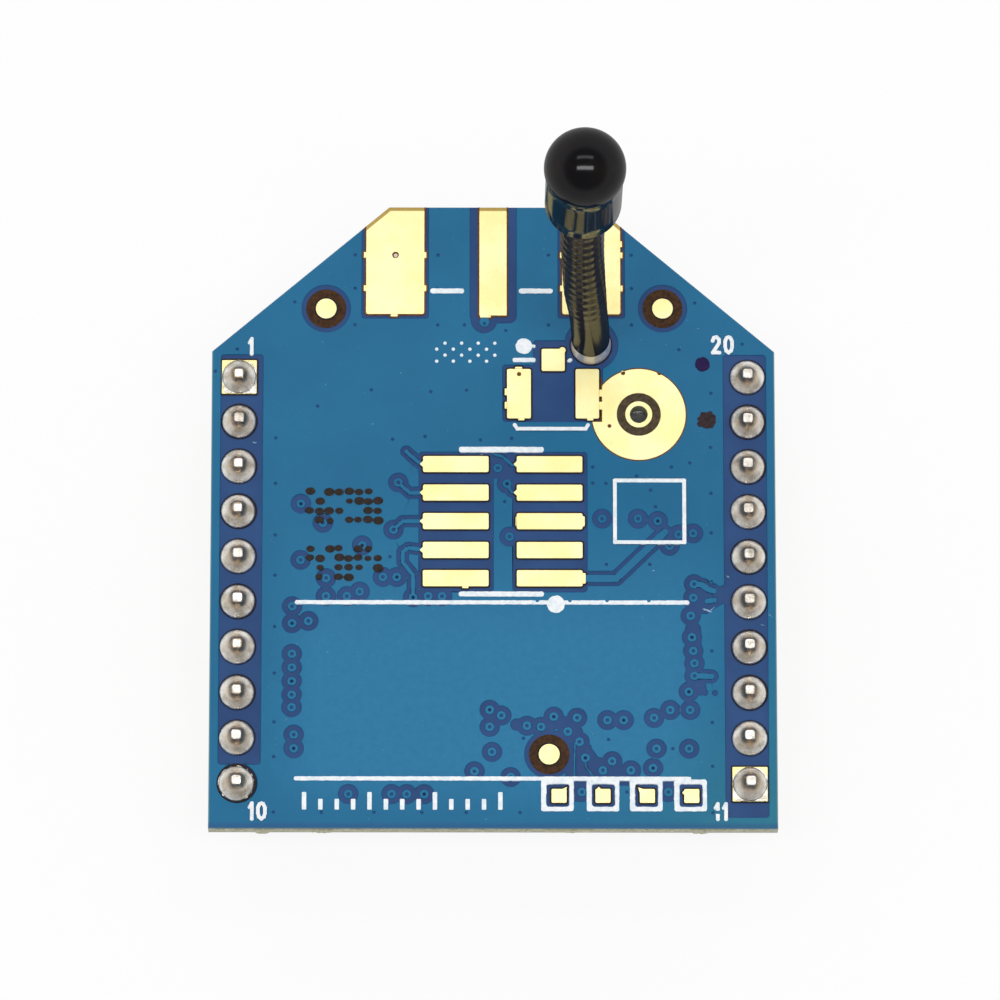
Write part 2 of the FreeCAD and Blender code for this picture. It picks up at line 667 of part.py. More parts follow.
def make_pins(label, side):
    """A row of square pins, chamfered at both tips."""
    body = new_body(label, x="%d*row_x" % side, z="0")
    flat = new_sketch(body, "section")
    block(flat, "0", "-half_row", "pin_size", "pin_size")
    pin_length = "top_face + pin_rise"
    shank = raise_pad(body, flat, pin_length)
    doc.recompute()
    tips = []
    for number, edge in enumerate(shank.Shape.Edges, 1):
        along = edge.tangentAt(edge.FirstParameter)
        if abs(along.z) < 0.01:
            tips.append("Edge%d" % number)
    taper = body.newObject("PartDesign::Chamfer", label + "_taper")
    taper.Base = (shank, tips)
    tie(taper, "Size", "pin_taper")
    body.Tip = taper
    row = repeat(body, [], (flat, ["V_Axis"]), "pins_per_row", "pin_pitch")
    row.TransformMode = "Whole shape"


def make_pin_joints(label, side):
    """A row of tapered solder joints, each closed round its square pin."""
    body = new_body(label, x="%d*row_x" % side, z="top_face")
    profile = new_sketch(body, "profile", plane="XZ_Plane", lift="half_row")
    outline(profile, [("0", "0"), ("joint_radius", "0"), ("joint_crown", "joint_height"),
                      ("0", "joint_height")])
    taper = turn(body, profile)
    hole = new_sketch(body, "hole", lift="joint_height")
    block(hole, "0", "-half_row", "pin_size", "pin_size")
    slot = cut_pocket(body, hole)
    repeat(body, [taper, slot], (hole, ["V_Axis"]), "pins_per_row", "pin_pitch")


def lean(body):
    """Tip a whip piece sideways about its foot, so that its axis meets the cap's rim."""
    body.Placement.Rotation = FreeCAD.Rotation(FreeCAD.Vector(0, -1, 0), 1)
    tie(body, "Placement.Rotation.Angle", "atan(whip_drift/cap_rim)")


def make_whip_wire():
    """The wire: through the laminate, up the sleeve and into the cap."""
    body = new_body("whip_wire", "whip_x", "grid_middle + whip_y")
    section = new_sketch(body, "section", lift="-board_thickness - wire_tail")
    disc(section, "0", "0", "wire_diameter/2")
    raise_pad(body, section, "board_thickness + wire_tail + cap_rim + cap_grip + wire_end")
    lean(body)
    return body


def make_whip_sleeve():
    """The black sleeve round the wire, from above the solder into the cap."""
    body = new_body("whip_sleeve", "whip_x", "grid_middle + whip_y")
    section = new_sketch(body, "section", lift="sleeve_start")
    disc(section, "0", "0", "sleeve_diameter/2")
    disc(section, "0", "0", "wire_diameter/2 + fit_gap")
    raise_pad(body, section, "cap_rim + cap_grip - sleeve_start")
    lean(body)


def make_whip_cap():
    """The moulded cap: upright, a short cylinder under a slightly larger ball, bored for the whip."""
    body = new_body("whip_cap", "whip_x - whip_drift", "grid_middle + whip_y")
    profile = new_sketch(body, "profile", plane="XZ_Plane")
    wall = "cap_diameter/2"
    ball = "(cap_diameter/2 + cap_swell)"
    meet = "cap_ball_height - sqrt(%s^2 - (%s)^2)" % (ball, wall)
    sleeve_bore = "sleeve_diameter/2 + cap_play"
    wire_bore = "wire_diameter/2 + cap_play + cap_play/2"
    seat = "cap_rim + cap_grip + cap_play"
    depth = seat + " + wire_end"
    outline(profile, [(sleeve_bore, "cap_rim"), (wall + " - cap_rim_bevel", "cap_rim"),
                      (wall, "cap_rim + cap_rim_bevel"), (wall, meet),
                      ("0", "cap_ball_height + " + ball), ("0", depth), (wire_bore, depth),
                      (wire_bore, seat), (sleeve_bore, seat)],
            {3: (ball, 1)})
    turn(body, profile)


def make_whip_solder(wire):
    """The whip's solder: a swelling foot on its land, cut to the leaning wire."""
    body = doc.addObject("PartDesign::Body", "whip_solder_form")
    body.Label = "whip_solder_form"
    place(body, "whip_x", "grid_middle + whip_y", "top_face")
    profile = new_sketch(body, "profile", plane="XZ_Plane")
    outline(profile, [("0", "0"), ("foot_radius", "0"), ("foot_shoulder", "foot_height/2"),
                      ("foot_crown", "foot_height"), ("0", "foot_height")])
    turn(body, profile)
    made = doc.addObject("Part::Cut", "whip_solder")
    made.Label = "whip_solder"
    made.Base = body
    made.Tool = wire
    sub_parts.append(made)


def make_back_foil():
    """The pour on the under face, clear of the headers, the can and the nose lands."""
    body = new_body("back_foil", z="under_face")
    flat = new_sketch(body, "outline")
    side = "(row_x - header_width/2 - land_border)"
    fall = "(board_length - shoulder_length)/((board_width - nose_width)/2)"
    turn_y = "%s + (board_width/2 - %s)*%s - foil_inset" % ("shoulder", side, fall)
    top_y = "nose_edge - foil_inset"
    outline(flat, [("-" + side, "lower_edge + foil_inset"),
                   (side, "lower_edge + foil_inset"), (side, turn_y),
                   ("nose_width/2 - foil_inset/2", top_y),
                   ("foil_inset/2 - nose_width/2", top_y), ("-" + side, turn_y)])
    raise_pad(body, flat, "foil_thickness", flip=True)
    lands = new_sketch(body, "clearances")
    outline(lands, edge_land_corners(1, "land_border"))
    outline(lands, list(reversed(edge_land_corners(-1, "land_border"))))
    block(lands, "0", "can_y", "can_width + 2*land_border", "can_length + 2*land_border")
    cut_pocket(body, lands)
    holes = new_sketch(body, "holes")
    disc(holes, "whip_x", "whip_y", "whip_clearance")
    cut_pocket(body, holes)


def make_shield_can():
    """The folded can: bent lower edges and an open slit at each corner."""
    body = new_body("shield_can", z="under_face")
    flat = new_sketch(body, "outline")
    block(flat, "0", "can_y", "can_width", "can_length")
    shell = raise_pad(body, flat, "can_height", flip=True)
    doc.recompute()
    folds = []
    for number, edge in enumerate(shell.Shape.Edges, 1):
        if edge.BoundBox.ZMax < -worth("can_height")/2:
            folds.append("Edge%d" % number)
    bends = body.newObject("PartDesign::Fillet", "shield_can_bends")
    bends.Base = (shell, folds)
    tie(bends, "Radius", "can_bend")
    body.Tip = bends
    inside = new_sketch(body, "inside")
    block(inside, "0", "can_y", "can_width - 2*can_wall", "can_length - 2*can_wall")
    cut_pocket(body, inside, "can_height - can_wall")
    slits = new_sketch(body, "slits")
    for across in (-1, 1):
        for along in (-1, 1):
            block(slits, "%d*can_width/2" % across, "can_y + %d*can_length/2" % along,
                  "2*can_wall + can_slit", "2*can_wall + can_slit")
    cut_pocket(body, slits, "can_slit_height")


def make_radio_chip():
    """The radio chip, a flat square package."""
    body = new_body("radio_chip", "chip_x", "grid_middle + chip_y", "under_face")
    flat = new_sketch(body, "package")
    block(flat, "0", "0", "chip_side", "chip_side")
    raise_pad(body, flat, "chip_height", flip=True)


def make_clock_crystal():
    """The crystal: a ceramic base with a smaller metal lid."""
    x = "beside_chip_x + crystal_width/2"
    y = "grid_middle + above_chip_y - chip_part_gap - crystal_length/2"
    body = new_body("clock_crystal", x, y, "under_face")
    base = new_sketch(body, "base")
    block(base, "0", "0", "crystal_width", "crystal_length")
    raise_pad(body, base, "crystal_base", flip=True)
    lid = new_sketch(body, "lid", lift="-crystal_base")
    block(lid, "0", "0", "crystal_width - 2*crystal_ledge", "crystal_length - 2*crystal_ledge")
    raise_pad(body, lid, "crystal_lid", flip=True)


def make_regulator():
    """The voltage regulator's body and its bent legs, three on one side and two on the other."""
    body = new_body("regulator", "regulator_x", "grid_middle + regulator_y", "under_face")
    flat = new_sketch(body, "package", lift="-regulator_lift")
    block(flat, "0", "0", "regulator_width", "regulator_length")
    raise_pad(body, flat, "regulator_height - regulator_lift", flip=True)
    legs = new_body("regulator_legs", "regulator_x", "grid_middle + regulator_y", "under_face")
    middle = "(-regulator_height/2)"
    for side, name, count, spacing in ((-1, "left", 3, "leg_pitch"), (1, "right", 2, "2*leg_pitch")):
        bend = new_sketch(legs, name, plane="XZ_Plane", lift="leg_pitch - leg_width/2")
        inner = "regulator_width/2"
        knee = "regulator_width/2 + leg_reach/2"
        toe = "regulator_width/2 + leg_reach"
        corners = [(inner, middle + " - leg_sheet"), (knee, middle + " - leg_sheet"),
                   (knee, "-leg_sheet"), (toe, "-leg_sheet"), (toe, "0"),
                   (knee + " - leg_sheet", "0"), (knee + " - leg_sheet", middle),
                   (inner, middle)]
        if side < 0:
            corners = [("-(%s)" % x, y) for x, y in reversed(corners)]
        outline(bend, corners)
        leg = raise_pad(legs, bend, "leg_width")
        row = legs.newObject("PartDesign::LinearPattern", "regulator_legs_" + name)
        row.Originals = [leg]
        row.Direction = (bend, ["N_Axis"])
        row.Reversed = True
        row.Mode = "Spacing"
        row.Occurrences = count
        tie(row, "Offset", spacing)
        legs.Tip = row


def make_covered_blocks():
    """The small parts under the can, each seated on the laminate."""
    filter_y = "above_chip_y + filter_width/2"
    filter_step = "(filter_length + filter_gap)/2"
    singles = [
        ("balun", "chip_x - " + filter_step, filter_y, "filter_length", "filter_width",
         "filter_height"),
        ("band_filter", "chip_x + " + filter_step, filter_y, "filter_length", "filter_width",
         "filter_height"),
        ("supply_capacitor", "regulator_x",
         "regulator_y - regulator_length/2 - tank_gap - tank_width/2", "tank_length",
         "tank_width", "tank_height"),
    ]
    for label, x, y, length, width, height in singles:
        made = solid_block(label, x, "grid_middle + " + y, "under_face - " + height,
                           length, width, height)
        made.Label = label
        sub_parts.append(made)
    capacitors = []
    for step in range(-2, 3):
        offset = "%d*chip_part_pitch" % step
        capacitors.append(solid_block(
            "capacitor_beside", "chip_x - chip_side/2 - chip_part_gap - chip_part_length/2",
            "grid_middle + chip_y + " + offset, "under_face - capacitor_height",
            "chip_part_length", "chip_part_width", "capacitor_height"))
        capacitors.append(solid_block(
            "capacitor_below", "chip_x + " + offset,
            "grid_middle + below_chip_y - chip_part_length/2", "under_face - capacitor_height",
            "chip_part_width", "chip_part_length", "capacitor_height"))
    group("capacitors", capacitors)
    outer = "filter_gap/2 + filter_length + chip_part_gap + chip_part_width/2"
    above = "grid_middle + above_chip_y + chip_part_length/2"
    resistors = [solid_block(
        "resistor", "chip_x + %s + %d*chip_part_pitch" % (outer, step), above,
        "under_face - resistor_height", "chip_part_width", "chip_part_length", "resistor_height")
        for step in range(4)]
    group("resistors", resistors)
    coils = [solid_block(
        "coil", "chip_x - (%s) - %d*coil_pitch" % (outer, step), above,
        "under_face - coil_height", "chip_part_width", "chip_part_length", "coil_height")
        for step in range(3)]
    group("coils", coils)


def check_and_write():
    """Stop on any failed object or broken shape, then write each sub-part."""
    doc.recompute()
    for item in doc.Objects:
        if "Invalid" in item.State or "Error" in item.State:
            raise RuntimeError("failed: " + item.Label)
    for part in sub_parts:
        if part.Shape.isNull() or not part.Shape.isValid():
            raise RuntimeError("bad shape: " + part.Label)
    os.makedirs("parts", exist_ok=True)
    for part in sub_parts:
        part.Shape.exportStep("parts/" + part.Label + ".step")
        print(part.Label, len(part.Shape.Solids), round(part.Shape.Volume, 4))


make_circuit_board()
make_ground_foil()
make_edge_lands("edge_lands", "top_face", False)
make_program_lands()
make_connector_lands()
make_probe_land()
make_reference_dots()
make_jumper_lands()
make_square_lands()
make_printed_marks()
make_header("left_header", -1)
make_header("right_header", 1)
make_pins("left_pins", -1)
make_pins("right_pins", 1)
make_pin_joints("left_solder", -1)
make_pin_joints("right_solder", 1)
whip_wire = make_whip_wire()
make_whip_sleeve()
make_whip_cap()
make_whip_solder(whip_wire)
make_back_foil()
make_edge_lands("back_edge_lands", "under_face", True)
make_shield_can()
make_radio_chip()
make_clock_crystal()
make_regulator()
make_covered_blocks()
check_and_write()
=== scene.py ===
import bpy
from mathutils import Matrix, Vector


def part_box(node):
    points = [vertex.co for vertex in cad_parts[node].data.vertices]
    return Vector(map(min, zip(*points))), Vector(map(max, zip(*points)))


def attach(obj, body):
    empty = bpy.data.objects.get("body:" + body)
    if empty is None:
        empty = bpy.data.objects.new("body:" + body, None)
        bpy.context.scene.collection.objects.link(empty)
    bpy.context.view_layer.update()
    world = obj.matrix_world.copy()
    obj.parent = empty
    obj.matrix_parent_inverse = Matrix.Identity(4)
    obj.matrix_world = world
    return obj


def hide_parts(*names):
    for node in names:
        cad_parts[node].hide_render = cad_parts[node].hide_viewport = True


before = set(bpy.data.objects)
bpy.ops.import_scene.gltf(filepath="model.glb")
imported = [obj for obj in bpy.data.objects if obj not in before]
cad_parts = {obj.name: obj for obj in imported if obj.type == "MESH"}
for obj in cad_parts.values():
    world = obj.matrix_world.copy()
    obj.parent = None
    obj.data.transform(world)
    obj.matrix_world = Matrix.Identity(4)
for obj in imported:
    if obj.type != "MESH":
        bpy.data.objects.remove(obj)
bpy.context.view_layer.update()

import bpy
import bmesh
import math
import random
from mathutils import Matrix, Vector
from mathutils.geometry import delaunay_2d_cdt

# A plug-in radio module seen on its solder side. Places on the board are millimetres from the
# middle of the pin grid; at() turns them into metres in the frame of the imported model.

mm = 0.001
boardLow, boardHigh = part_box("circuit_board")
pinLow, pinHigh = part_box("left_pins")
gridY = (pinLow.y + pinHigh.y) / 2
topLevel = boardHigh.z / mm
underLevel = boardLow.z / mm
rowX = 11.0
pinY = [9.0 - 2.0 * number for number in range(10)]
dotPlaces = ((-7.25, 12.08), (7.35, 12.1), (2.4, -7.7))  # the round alignment dots
probeAt = (6.3, 7.35)
jumperX = (2.82, 4.70, 6.60, 8.50)


def at(x, y, z):
    return Vector((x * mm, y * mm + gridY, z * mm))


def tint(colour):  # colours are written as on a screen, 0 to 255
    shares = [value / 255 for value in colour]
    return (*(share / 12.92 if share <= 0.04045 else ((share + 0.055) / 1.055) ** 2.4
              for share in shares), 1.0)


# materials: small helpers


def addNode(tree, kind, feeds=None, **options):
    # feeds are values for the node's sockets, or sockets to link to them
    node = tree.nodes.new(kind)
    for option, value in options.items():
        setattr(node, option, value)
    for socket, value in (feeds or {}).items():
        if isinstance(value, bpy.types.NodeSocket):
            tree.links.new(value, node.inputs[socket])
        else:
            node.inputs[socket].default_value = value
    return node


finish = {}


class Finish:
    # a material kept in finish by its name, with its shader and short ways to feed it
    def __init__(self, name, rough=0.5, metal=0.0, level=0.5, coat=0.0, coatRough=0.1):
        finish[name] = bpy.data.materials.new(name)
        finish[name].use_nodes = True
        self.tree = finish[name].node_tree
        self.tree.nodes.clear()
        self.shader = self.add("ShaderNodeBsdfPrincipled", {
            "Roughness": rough, "Metallic": metal, "Specular IOR Level": level,
            "Coat Weight": coat, "Coat Roughness": coatRough})
        self.output = self.add("ShaderNodeOutputMaterial", {"Surface": self.shader.outputs["BSDF"]})
        self.place = self.add("ShaderNodeTexCoord").outputs["Object"]

    def add(self, kind, feeds=None, **options):
        return addNode(self.tree, kind, feeds, **options)

    def noise(self, size, detail=4.0, rough=0.55, stretch=None):  # size in millimetres
        place = self.place
        if stretch:
            mapping = self.add("ShaderNodeMapping", {"Vector": place, "Scale": stretch})
            place = mapping.outputs["Vector"]
        feeds = {"Vector": place, "Scale": 1.0 / (size * mm), "Detail": detail, "Roughness": rough}
        return self.add("ShaderNodeTexNoise", feeds).outputs["Fac"]

    def grey(self, value, low, high, dark=0.0, light=1.0):  # dark up to low, light from high
        node = self.add("ShaderNodeValToRGB", {"Fac": value})
        for mark, spot, share in zip(node.color_ramp.elements, (low, high), (dark, light)):
            mark.position = spot
            mark.color = (share, share, share, 1.0)
        return node.outputs["Color"]

    def mix(self, share, first, second):
        first, second = (tint(end) if isinstance(end, tuple) else end for end in (first, second))
        feeds = {0: share, 6: first, 7: second}
        return self.add("ShaderNodeMix", feeds, data_type="RGBA").outputs[2]

    def blotch(self, noise, low, high, first, second, most=1.0):  # second where the noise is high
        return self.mix(self.grey(noise, low, high, light=most), first, second)

    def sums(self, operation, first, second=0.0):
        return self.add("ShaderNodeMath", {0: first, 1: second}, operation=operation).outputs[0]

    def axis(self, letter):  # a place along x, y or z in metres
        return self.add("ShaderNodeSeparateXYZ", {0: self.place}).outputs[letter]

    def facing(self, letter):  # part of the surface's own direction
        normal = self.add("ShaderNodeNewGeometry").outputs["Normal"]
        return self.add("ShaderNodeSeparateXYZ", {0: normal}).outputs[letter]

    def between(self, value, low, high, unit=mm):  # from 0 at low to 1 at high
        feeds = {"Value": value, "From Min": low * unit, "From Max": high * unit}
        return self.add("ShaderNodeMapRange", feeds).outputs["Result"]

    def colour(self, socket):
        self.tree.links.new(socket, self.shader.inputs["Base Color"])
        return self

    def roughness(self, grain, low, high):
        value = self.grey(grain, 0.3, 0.7, low, high)
        self.tree.links.new(value, self.shader.inputs["Roughness"])
        return self

    def bump(self, height, strength, depth):  # depth in millimetres
        feeds = {"Strength": strength, "Distance": depth * mm, "Height": height}
        node = self.add("ShaderNodeBump", feeds)
        self.tree.links.new(node.outputs["Normal"], self.shader.inputs["Normal"])
        return self


# materials of this module

maskLook = {
    "teal": (22, 109, 151), "tealDeep": (18, 101, 143),
    "tealPale": (37, 120, 162), "tealGreen": (40, 122, 140),
    "indigo": (39, 76, 128), "indigoDeep": (32, 66, 116),
    "speck": (120, 170, 200), "rim": (120, 150, 150),
    "rough": 0.34, "gloss": 0.2,
    # where each change of colour begins and ends, in millimetres
    "paleSides": (9.8, 7.5), "paleTop": (0.0, -5.5), "paleFoot": (-13.2, -11.2),
    "greenCorner": (17.0, 25.5), "thin": 0.03, "thinUnder": 0.1,
    "rimSides": (12.13, 12.17), "rimFront": (-13.76, -13.8), "shadeFront": (-13.5, -13.66),
}


def maskOverCopper(name):
    look = maskLook
    made = Finish(name, rough=look["rough"], level=look["gloss"])
    x, y, z = made.axis("X"), made.axis("Y"), made.axis("Z")
    broad = made.noise(5.0, 3.0)
    fine = made.noise(0.35, 5.0, 0.7)
    specks = made.noise(0.12, 1.0)
    base = made.blotch(broad, 0.35, 0.65, look["tealDeep"], look["teal"])
    # the open middle is a little paler, the lower right corner greener
    field = made.between(made.sums("ABSOLUTE", x), *look["paleSides"])
    for band in ("paleTop", "paleFoot"):
        field = made.sums("MULTIPLY", field, made.between(y, *look[band]))
    base = made.mix(made.sums("MULTIPLY", field, 0.85), base, look["tealPale"])
    corner = made.between(made.sums("SUBTRACT", x, y), *look["greenCorner"])
    base = made.mix(made.sums("MULTIPLY", corner, 0.8), base, look["tealGreen"])
    base = made.blotch(fine, 0.4, 0.65, base, look["tealDeep"], 0.3)
    base = made.blotch(specks, 0.77, 0.8, base, look["speck"], 0.4)
    # the mask thins out to the dark colour down its rounded edges
    top = made.between(z, topLevel, topLevel + look["thin"])
    under = made.between(z, underLevel + look["thinUnder"], underLevel)
    base = made.mix(made.sums("MAXIMUM", top, under), look["indigo"], base)
    sides = made.between(made.sums("ABSOLUTE", x), *look["rimSides"])
    front = made.between(y, *look["rimFront"])
    base = made.mix(made.sums("MAXIMUM", sides, front), base, look["rim"])
    shade = made.between(y, *look["shadeFront"])
    base = made.mix(made.sums("MULTIPLY", shade, 0.5), base, look["indigo"])
    made.colour(base).bump(fine, 0.06, 0.01)


laminateLook = {
    "edgePale": (176, 182, 160), "edgeDark": (142, 138, 112),
    "edgeMask": (52, 110, 130), "maskBand": (0.34, 0.38),  # from the middle of its thickness
    "layerPitch": 0.09,
}


def laminateWithMask(name):
    # mask on both faces, woven glass on the cut sides
    look, mask = laminateLook, maskLook
    made = Finish(name, rough=0.4, level=mask["gloss"])
    broad = made.noise(3.0, 3.0)
    fine = made.noise(0.3, 4.0, 0.7)
    flat = made.blotch(broad, 0.35, 0.65, mask["indigoDeep"], mask["indigo"])
    threads = made.noise(look["layerPitch"], 3.0, stretch=(0.25, 0.25, 1.6))
    edge = made.blotch(threads, 0.38, 0.62, look["edgeDark"], look["edgePale"])
    middle = made.sums("SUBTRACT", made.axis("Z"), (topLevel + underLevel) / 2 * mm)
    rim = made.between(made.sums("ABSOLUTE", middle), *look["maskBand"])
    edge = made.mix(rim, edge, look["edgeMask"])
    flatness = made.between(made.sums("ABSOLUTE", made.facing("Z")), 0.5, 0.6, unit=1.0)
    made.colour(made.mix(flatness, edge, flat)).bump(fine, 0.1, 0.012)


goldLook = {
    "pale": (255, 249, 192), "deep": (255, 240, 172), "worn": (236, 200, 120),
    "grazing": (255, 206, 132),  # seen at a low angle
    "rough": (0.42, 0.6),
    # darker along the cut edges of the nose: where the change begins and ends
    "edge": (176, 152, 88), "front": (13.61, 13.66), "slant": (17.4, 17.46), "fall": 0.8488,
}


def goldPlate(name):
    look = goldLook
    made = Finish(name, metal=1.0)
    made.shader.inputs["Specular Tint"].default_value = tint(look["grazing"])
    broad = made.noise(1.8, 3.0)
    grain = made.noise(0.06, 4.0, 0.7, (1.0, 0.35, 1.0))
    base = made.blotch(broad, 0.38, 0.62, look["deep"], look["pale"])
    base = made.blotch(grain, 0.6, 0.8, base, look["worn"], 0.4)
    slope = made.sums("MULTIPLY", made.sums("ABSOLUTE", made.axis("X")), look["fall"])
    slant = made.between(made.sums("ADD", slope, made.axis("Y")), *look["slant"])
    front = made.between(made.axis("Y"), *look["front"])
    base = made.mix(made.sums("MAXIMUM", slant, front), base, look["edge"])
    made.colour(base).roughness(grain, *look["rough"]).bump(grain, 0.12, 0.006)


solderLook = {
    "bright": (250, 246, 238), "dull": (198, 190, 177), "clean": (246, 244, 250),
    "steepShade": (186, 166, 142),
}


def tinSolder(name, rough, dark, light, dull):
    # bright at the foot, with painted shade where the cone is steep, standing in for its dark
    # reflections there; dark and light are the heights in millimetres where that painted shade
    # rises and fades
    look = solderLook
    made = Finish(name, metal=1.0)
    broad = made.noise(0.5, 4.0)
    grain = made.noise(0.05, 5.0, 0.75)
    dents = made.noise(0.2, 3.0, 0.6)
    base = made.blotch(broad, 0.36, 0.64, dull, look["bright"])
    height = made.sums("SUBTRACT", made.axis("Z"), topLevel * mm)
    lower = made.between(height, *dark)
    upper = made.between(height, light[1], light[0])
    # painted shade on the steep part of the cone
    base = made.mix(made.sums("MULTIPLY", lower, upper), base, look["steepShade"])
    made.colour(base).roughness(grain, rough - 0.08, rough + 0.12)
    made.bump(made.sums("ADD", dents, made.sums("MULTIPLY", grain, 0.35)), 0.6, 0.035)


pinLook = {
    "gold": (222, 186, 110), "goldDull": (196, 156, 84),
    "tin": (238, 235, 230), "tinDull": (192, 186, 178),
    "tinned": (7.2, 7.25),  # heights in millimetres between which gold turns to tin
}


def pinMetal(name):
    look = pinLook
    made = Finish(name, rough=0.28, metal=1.0)
    grain = made.noise(0.08, 3.0, stretch=(1.0, 1.0, 0.2))
    plated = made.blotch(grain, 0.4, 0.7, look["gold"], look["goldDull"], 0.5)
    tinned = made.blotch(grain, 0.4, 0.6, look["tin"], look["tinDull"], 0.9)
    share = made.between(made.axis("Z"), *look["tinned"])
    made.colour(made.mix(share, plated, tinned)).bump(grain, 0.1, 0.006)


whipLook = {"black": (7, 6, 10), "brown": (20, 14, 12), "dust": (70, 68, 72)}
sleeveLook = {
    "black": (35, 27, 23), "brown": (46, 35, 28), "dust": (88, 76, 66),
    "foot": (27, 21, 18), "footHeights": (3, 8),  # painted shade, darker near the board
}


def whipPlastic(name, rough, coat, look):
    made = Finish(name, rough=rough, level=0.0, coat=coat, coatRough=rough)
    base = made.blotch(made.noise(1.5, 3.0), 0.4, 0.7, look["black"], look["brown"])
    base = made.blotch(made.noise(0.1, 2.0), 0.74, 0.8, base, look["dust"], 0.2)
    # painted shade towards the foot, near the board
    if "foot" in look:
        low, high = look["footHeights"]
        height = made.between(made.axis("Z"), topLevel + low, topLevel + high)
        base = made.mix(height, look["foot"], base)
    made.colour(base)


def plainPlastic(name, colour, dark, rough):
    made = Finish(name, level=0.4)
    grain = made.noise(0.12, 4.0, 0.7)
    made.colour(made.blotch(made.noise(2.0, 3.0), 0.35, 0.65, dark, colour))
    made.roughness(grain, rough - 0.08, rough + 0.1).bump(grain, 0.2, 0.015)


def sheetMetal(name, colour, dark, rough):
    made = Finish(name, metal=1.0)
    rolled = made.noise(0.1, 4.0, 0.7, (0.06, 1.0, 1.0))
    base = made.blotch(made.noise(4.0, 4.0), 0.35, 0.65, dark, colour)
    made.colour(made.blotch(rolled, 0.45, 0.75, base, dark, 0.4))
    made.roughness(rolled, rough - 0.06, rough + 0.12).bump(rolled, 0.12, 0.008)


def printedInk(name):
    made = Finish(name, rough=0.55, level=0.3)
    patchy = made.noise(0.22, 5.0, 0.7)
    base = made.blotch(patchy, 0.35, 0.6, (220, 233, 242), (250, 252, 253))
    made.colour(base).bump(patchy, 0.3, 0.012)


def matte(name, dark, pale):
    made = Finish(name, rough=0.42, level=0.12)
    fine = made.noise(0.16, 4.0, 0.7)
    made.colour(made.blotch(fine, 0.35, 0.68, dark, pale))
    made.bump(fine, 0.2, 0.012)


matteColours = {
    "brownLaminate": ((44, 28, 14), (84, 54, 28)),
    "darkRing": ((58, 48, 34), (92, 78, 60)),
    "darkHole": ((14, 32, 66), (22, 46, 84)),
    "rawLaminate": ((150, 146, 116), (196, 196, 172)),
    "paintedShadow": ((24, 20, 34), (52, 40, 36)),
    "brownEdge": ((84, 50, 20), (128, 84, 36)),
    "purpleInk": ((26, 12, 60), (42, 24, 78)),
    "brownInk": ((36, 25, 28), (66, 50, 54)),
    "blackInk": ((32, 27, 26), (56, 48, 44)),
    "palePlug": ((206, 178, 156), (234, 218, 204)),
    "sheenSmear": ((112, 156, 190), (176, 206, 224)),
}
plasticColours = {
    "headerBlack": ((30, 30, 33), (22, 22, 24), 0.48),
    "chipBlack": ((38, 38, 42), (28, 28, 31), 0.55),
    "ceramicTan": ((190, 168, 138), (168, 146, 116), 0.5),
    "resistorBlack": ((34, 34, 40), (24, 24, 28), 0.35),
    "coilBlue": ((118, 134, 158), (96, 110, 134), 0.45),
}
metalColours = {
    "canMetal": ((212, 214, 212), (194, 196, 193), 0.3),
    "legTin": ((222, 220, 214), (184, 180, 172), 0.26),
    "crystalMetal": ((226, 220, 200), (196, 188, 166), 0.25),
}

print("finishes")
maskOverCopper("tealMask")
laminateWithMask("laminateAndMask")
goldPlate("goldPlate")
tinSolder("tinSolder", 0.3, (0.22, 0.46), (0.775, 0.81), solderLook["dull"])
tinSolder("brightTin", 0.46, (0.5, 0.8), (1.1, 1.2), solderLook["clean"])
printedInk("whitePrint")
whipPlastic("whipGloss", 0.16, 0.25, sleeveLook)
whipPlastic("capGloss", 0.12, 0.4, whipLook)
pinMetal("pinFinish")
for maker, colours in ((matte, matteColours), (plainPlastic, plasticColours),
                       (sheetMetal, metalColours)):
    for name, values in colours.items():
        maker(name, *values)


# outlines, in millimetres on the board


def ringOf(x, y, radius, sides=30, wide=1.0, lean=0.0):
    found = []
    for step in range(sides):
        turn = 2 * math.pi * step / sides
        px, py = radius * wide * math.cos(turn), radius * math.sin(turn)
        found.append((x + px * math.cos(lean) - py * math.sin(lean),
                      y + px * math.sin(lean) + py * math.cos(lean)))
    return found


def barOf(x0, y0, x1, y1, corner=0.0):
    if corner <= 0:
        return [(x0, y0), (x1, y0), (x1, y1), (x0, y1)]
    found = []
    middles = ((x1 - corner, y0 + corner, -90), (x1 - corner, y1 - corner, 0),
               (x0 + corner, y1 - corner, 90), (x0 + corner, y0 + corner, 180))
    for cx, cy, start in middles:
        for step in range(5):
            turn = math.radians(start + 22.5 * step)
            found.append((cx + corner * math.cos(turn), cy + corner * math.sin(turn)))
    return found


def midBar(x, y, wide, tall, corner=0.0):
    return barOf(x - wide / 2, y - tall / 2, x + wide / 2, y + tall / 2, corner)


def runOf(points, width):
    # a drawn line of even width with round ends and joints
    half = width / 2
    found = [ringOf(x, y, half, 20) for x, y in points]
    for (x0, y0), (x1, y1) in zip(points, points[1:]):
        long = math.hypot(x1 - x0, y1 - y0)
        dx, dy = (y1 - y0) / long * half, (x0 - x1) / long * half
        found.append([(x0 + dx, y0 + dy), (x1 + dx, y1 + dy),
                      (x1 - dx, y1 - dy), (x0 - dx, y0 - dy)])
    return found


def roughOf(outline, amount, step=0.12, seed=1):
    # the same outline with a slightly uneven edge, as printed ink has
    draw = random.Random(seed)
    found = []
    for (x0, y0), (x1, y1) in zip(outline, outline[1:] + outline[:1]):
        long = math.hypot(x1 - x0, y1 - y0)
        cuts = max(1, int(long / step))
        for cut in range(cuts):
            share = cut / cuts
            found.append((x0 + (x1 - x0) * share + draw.uniform(-amount, amount),
                          y0 + (y1 - y0) * share + draw.uniform(-amount, amount)))
    return found


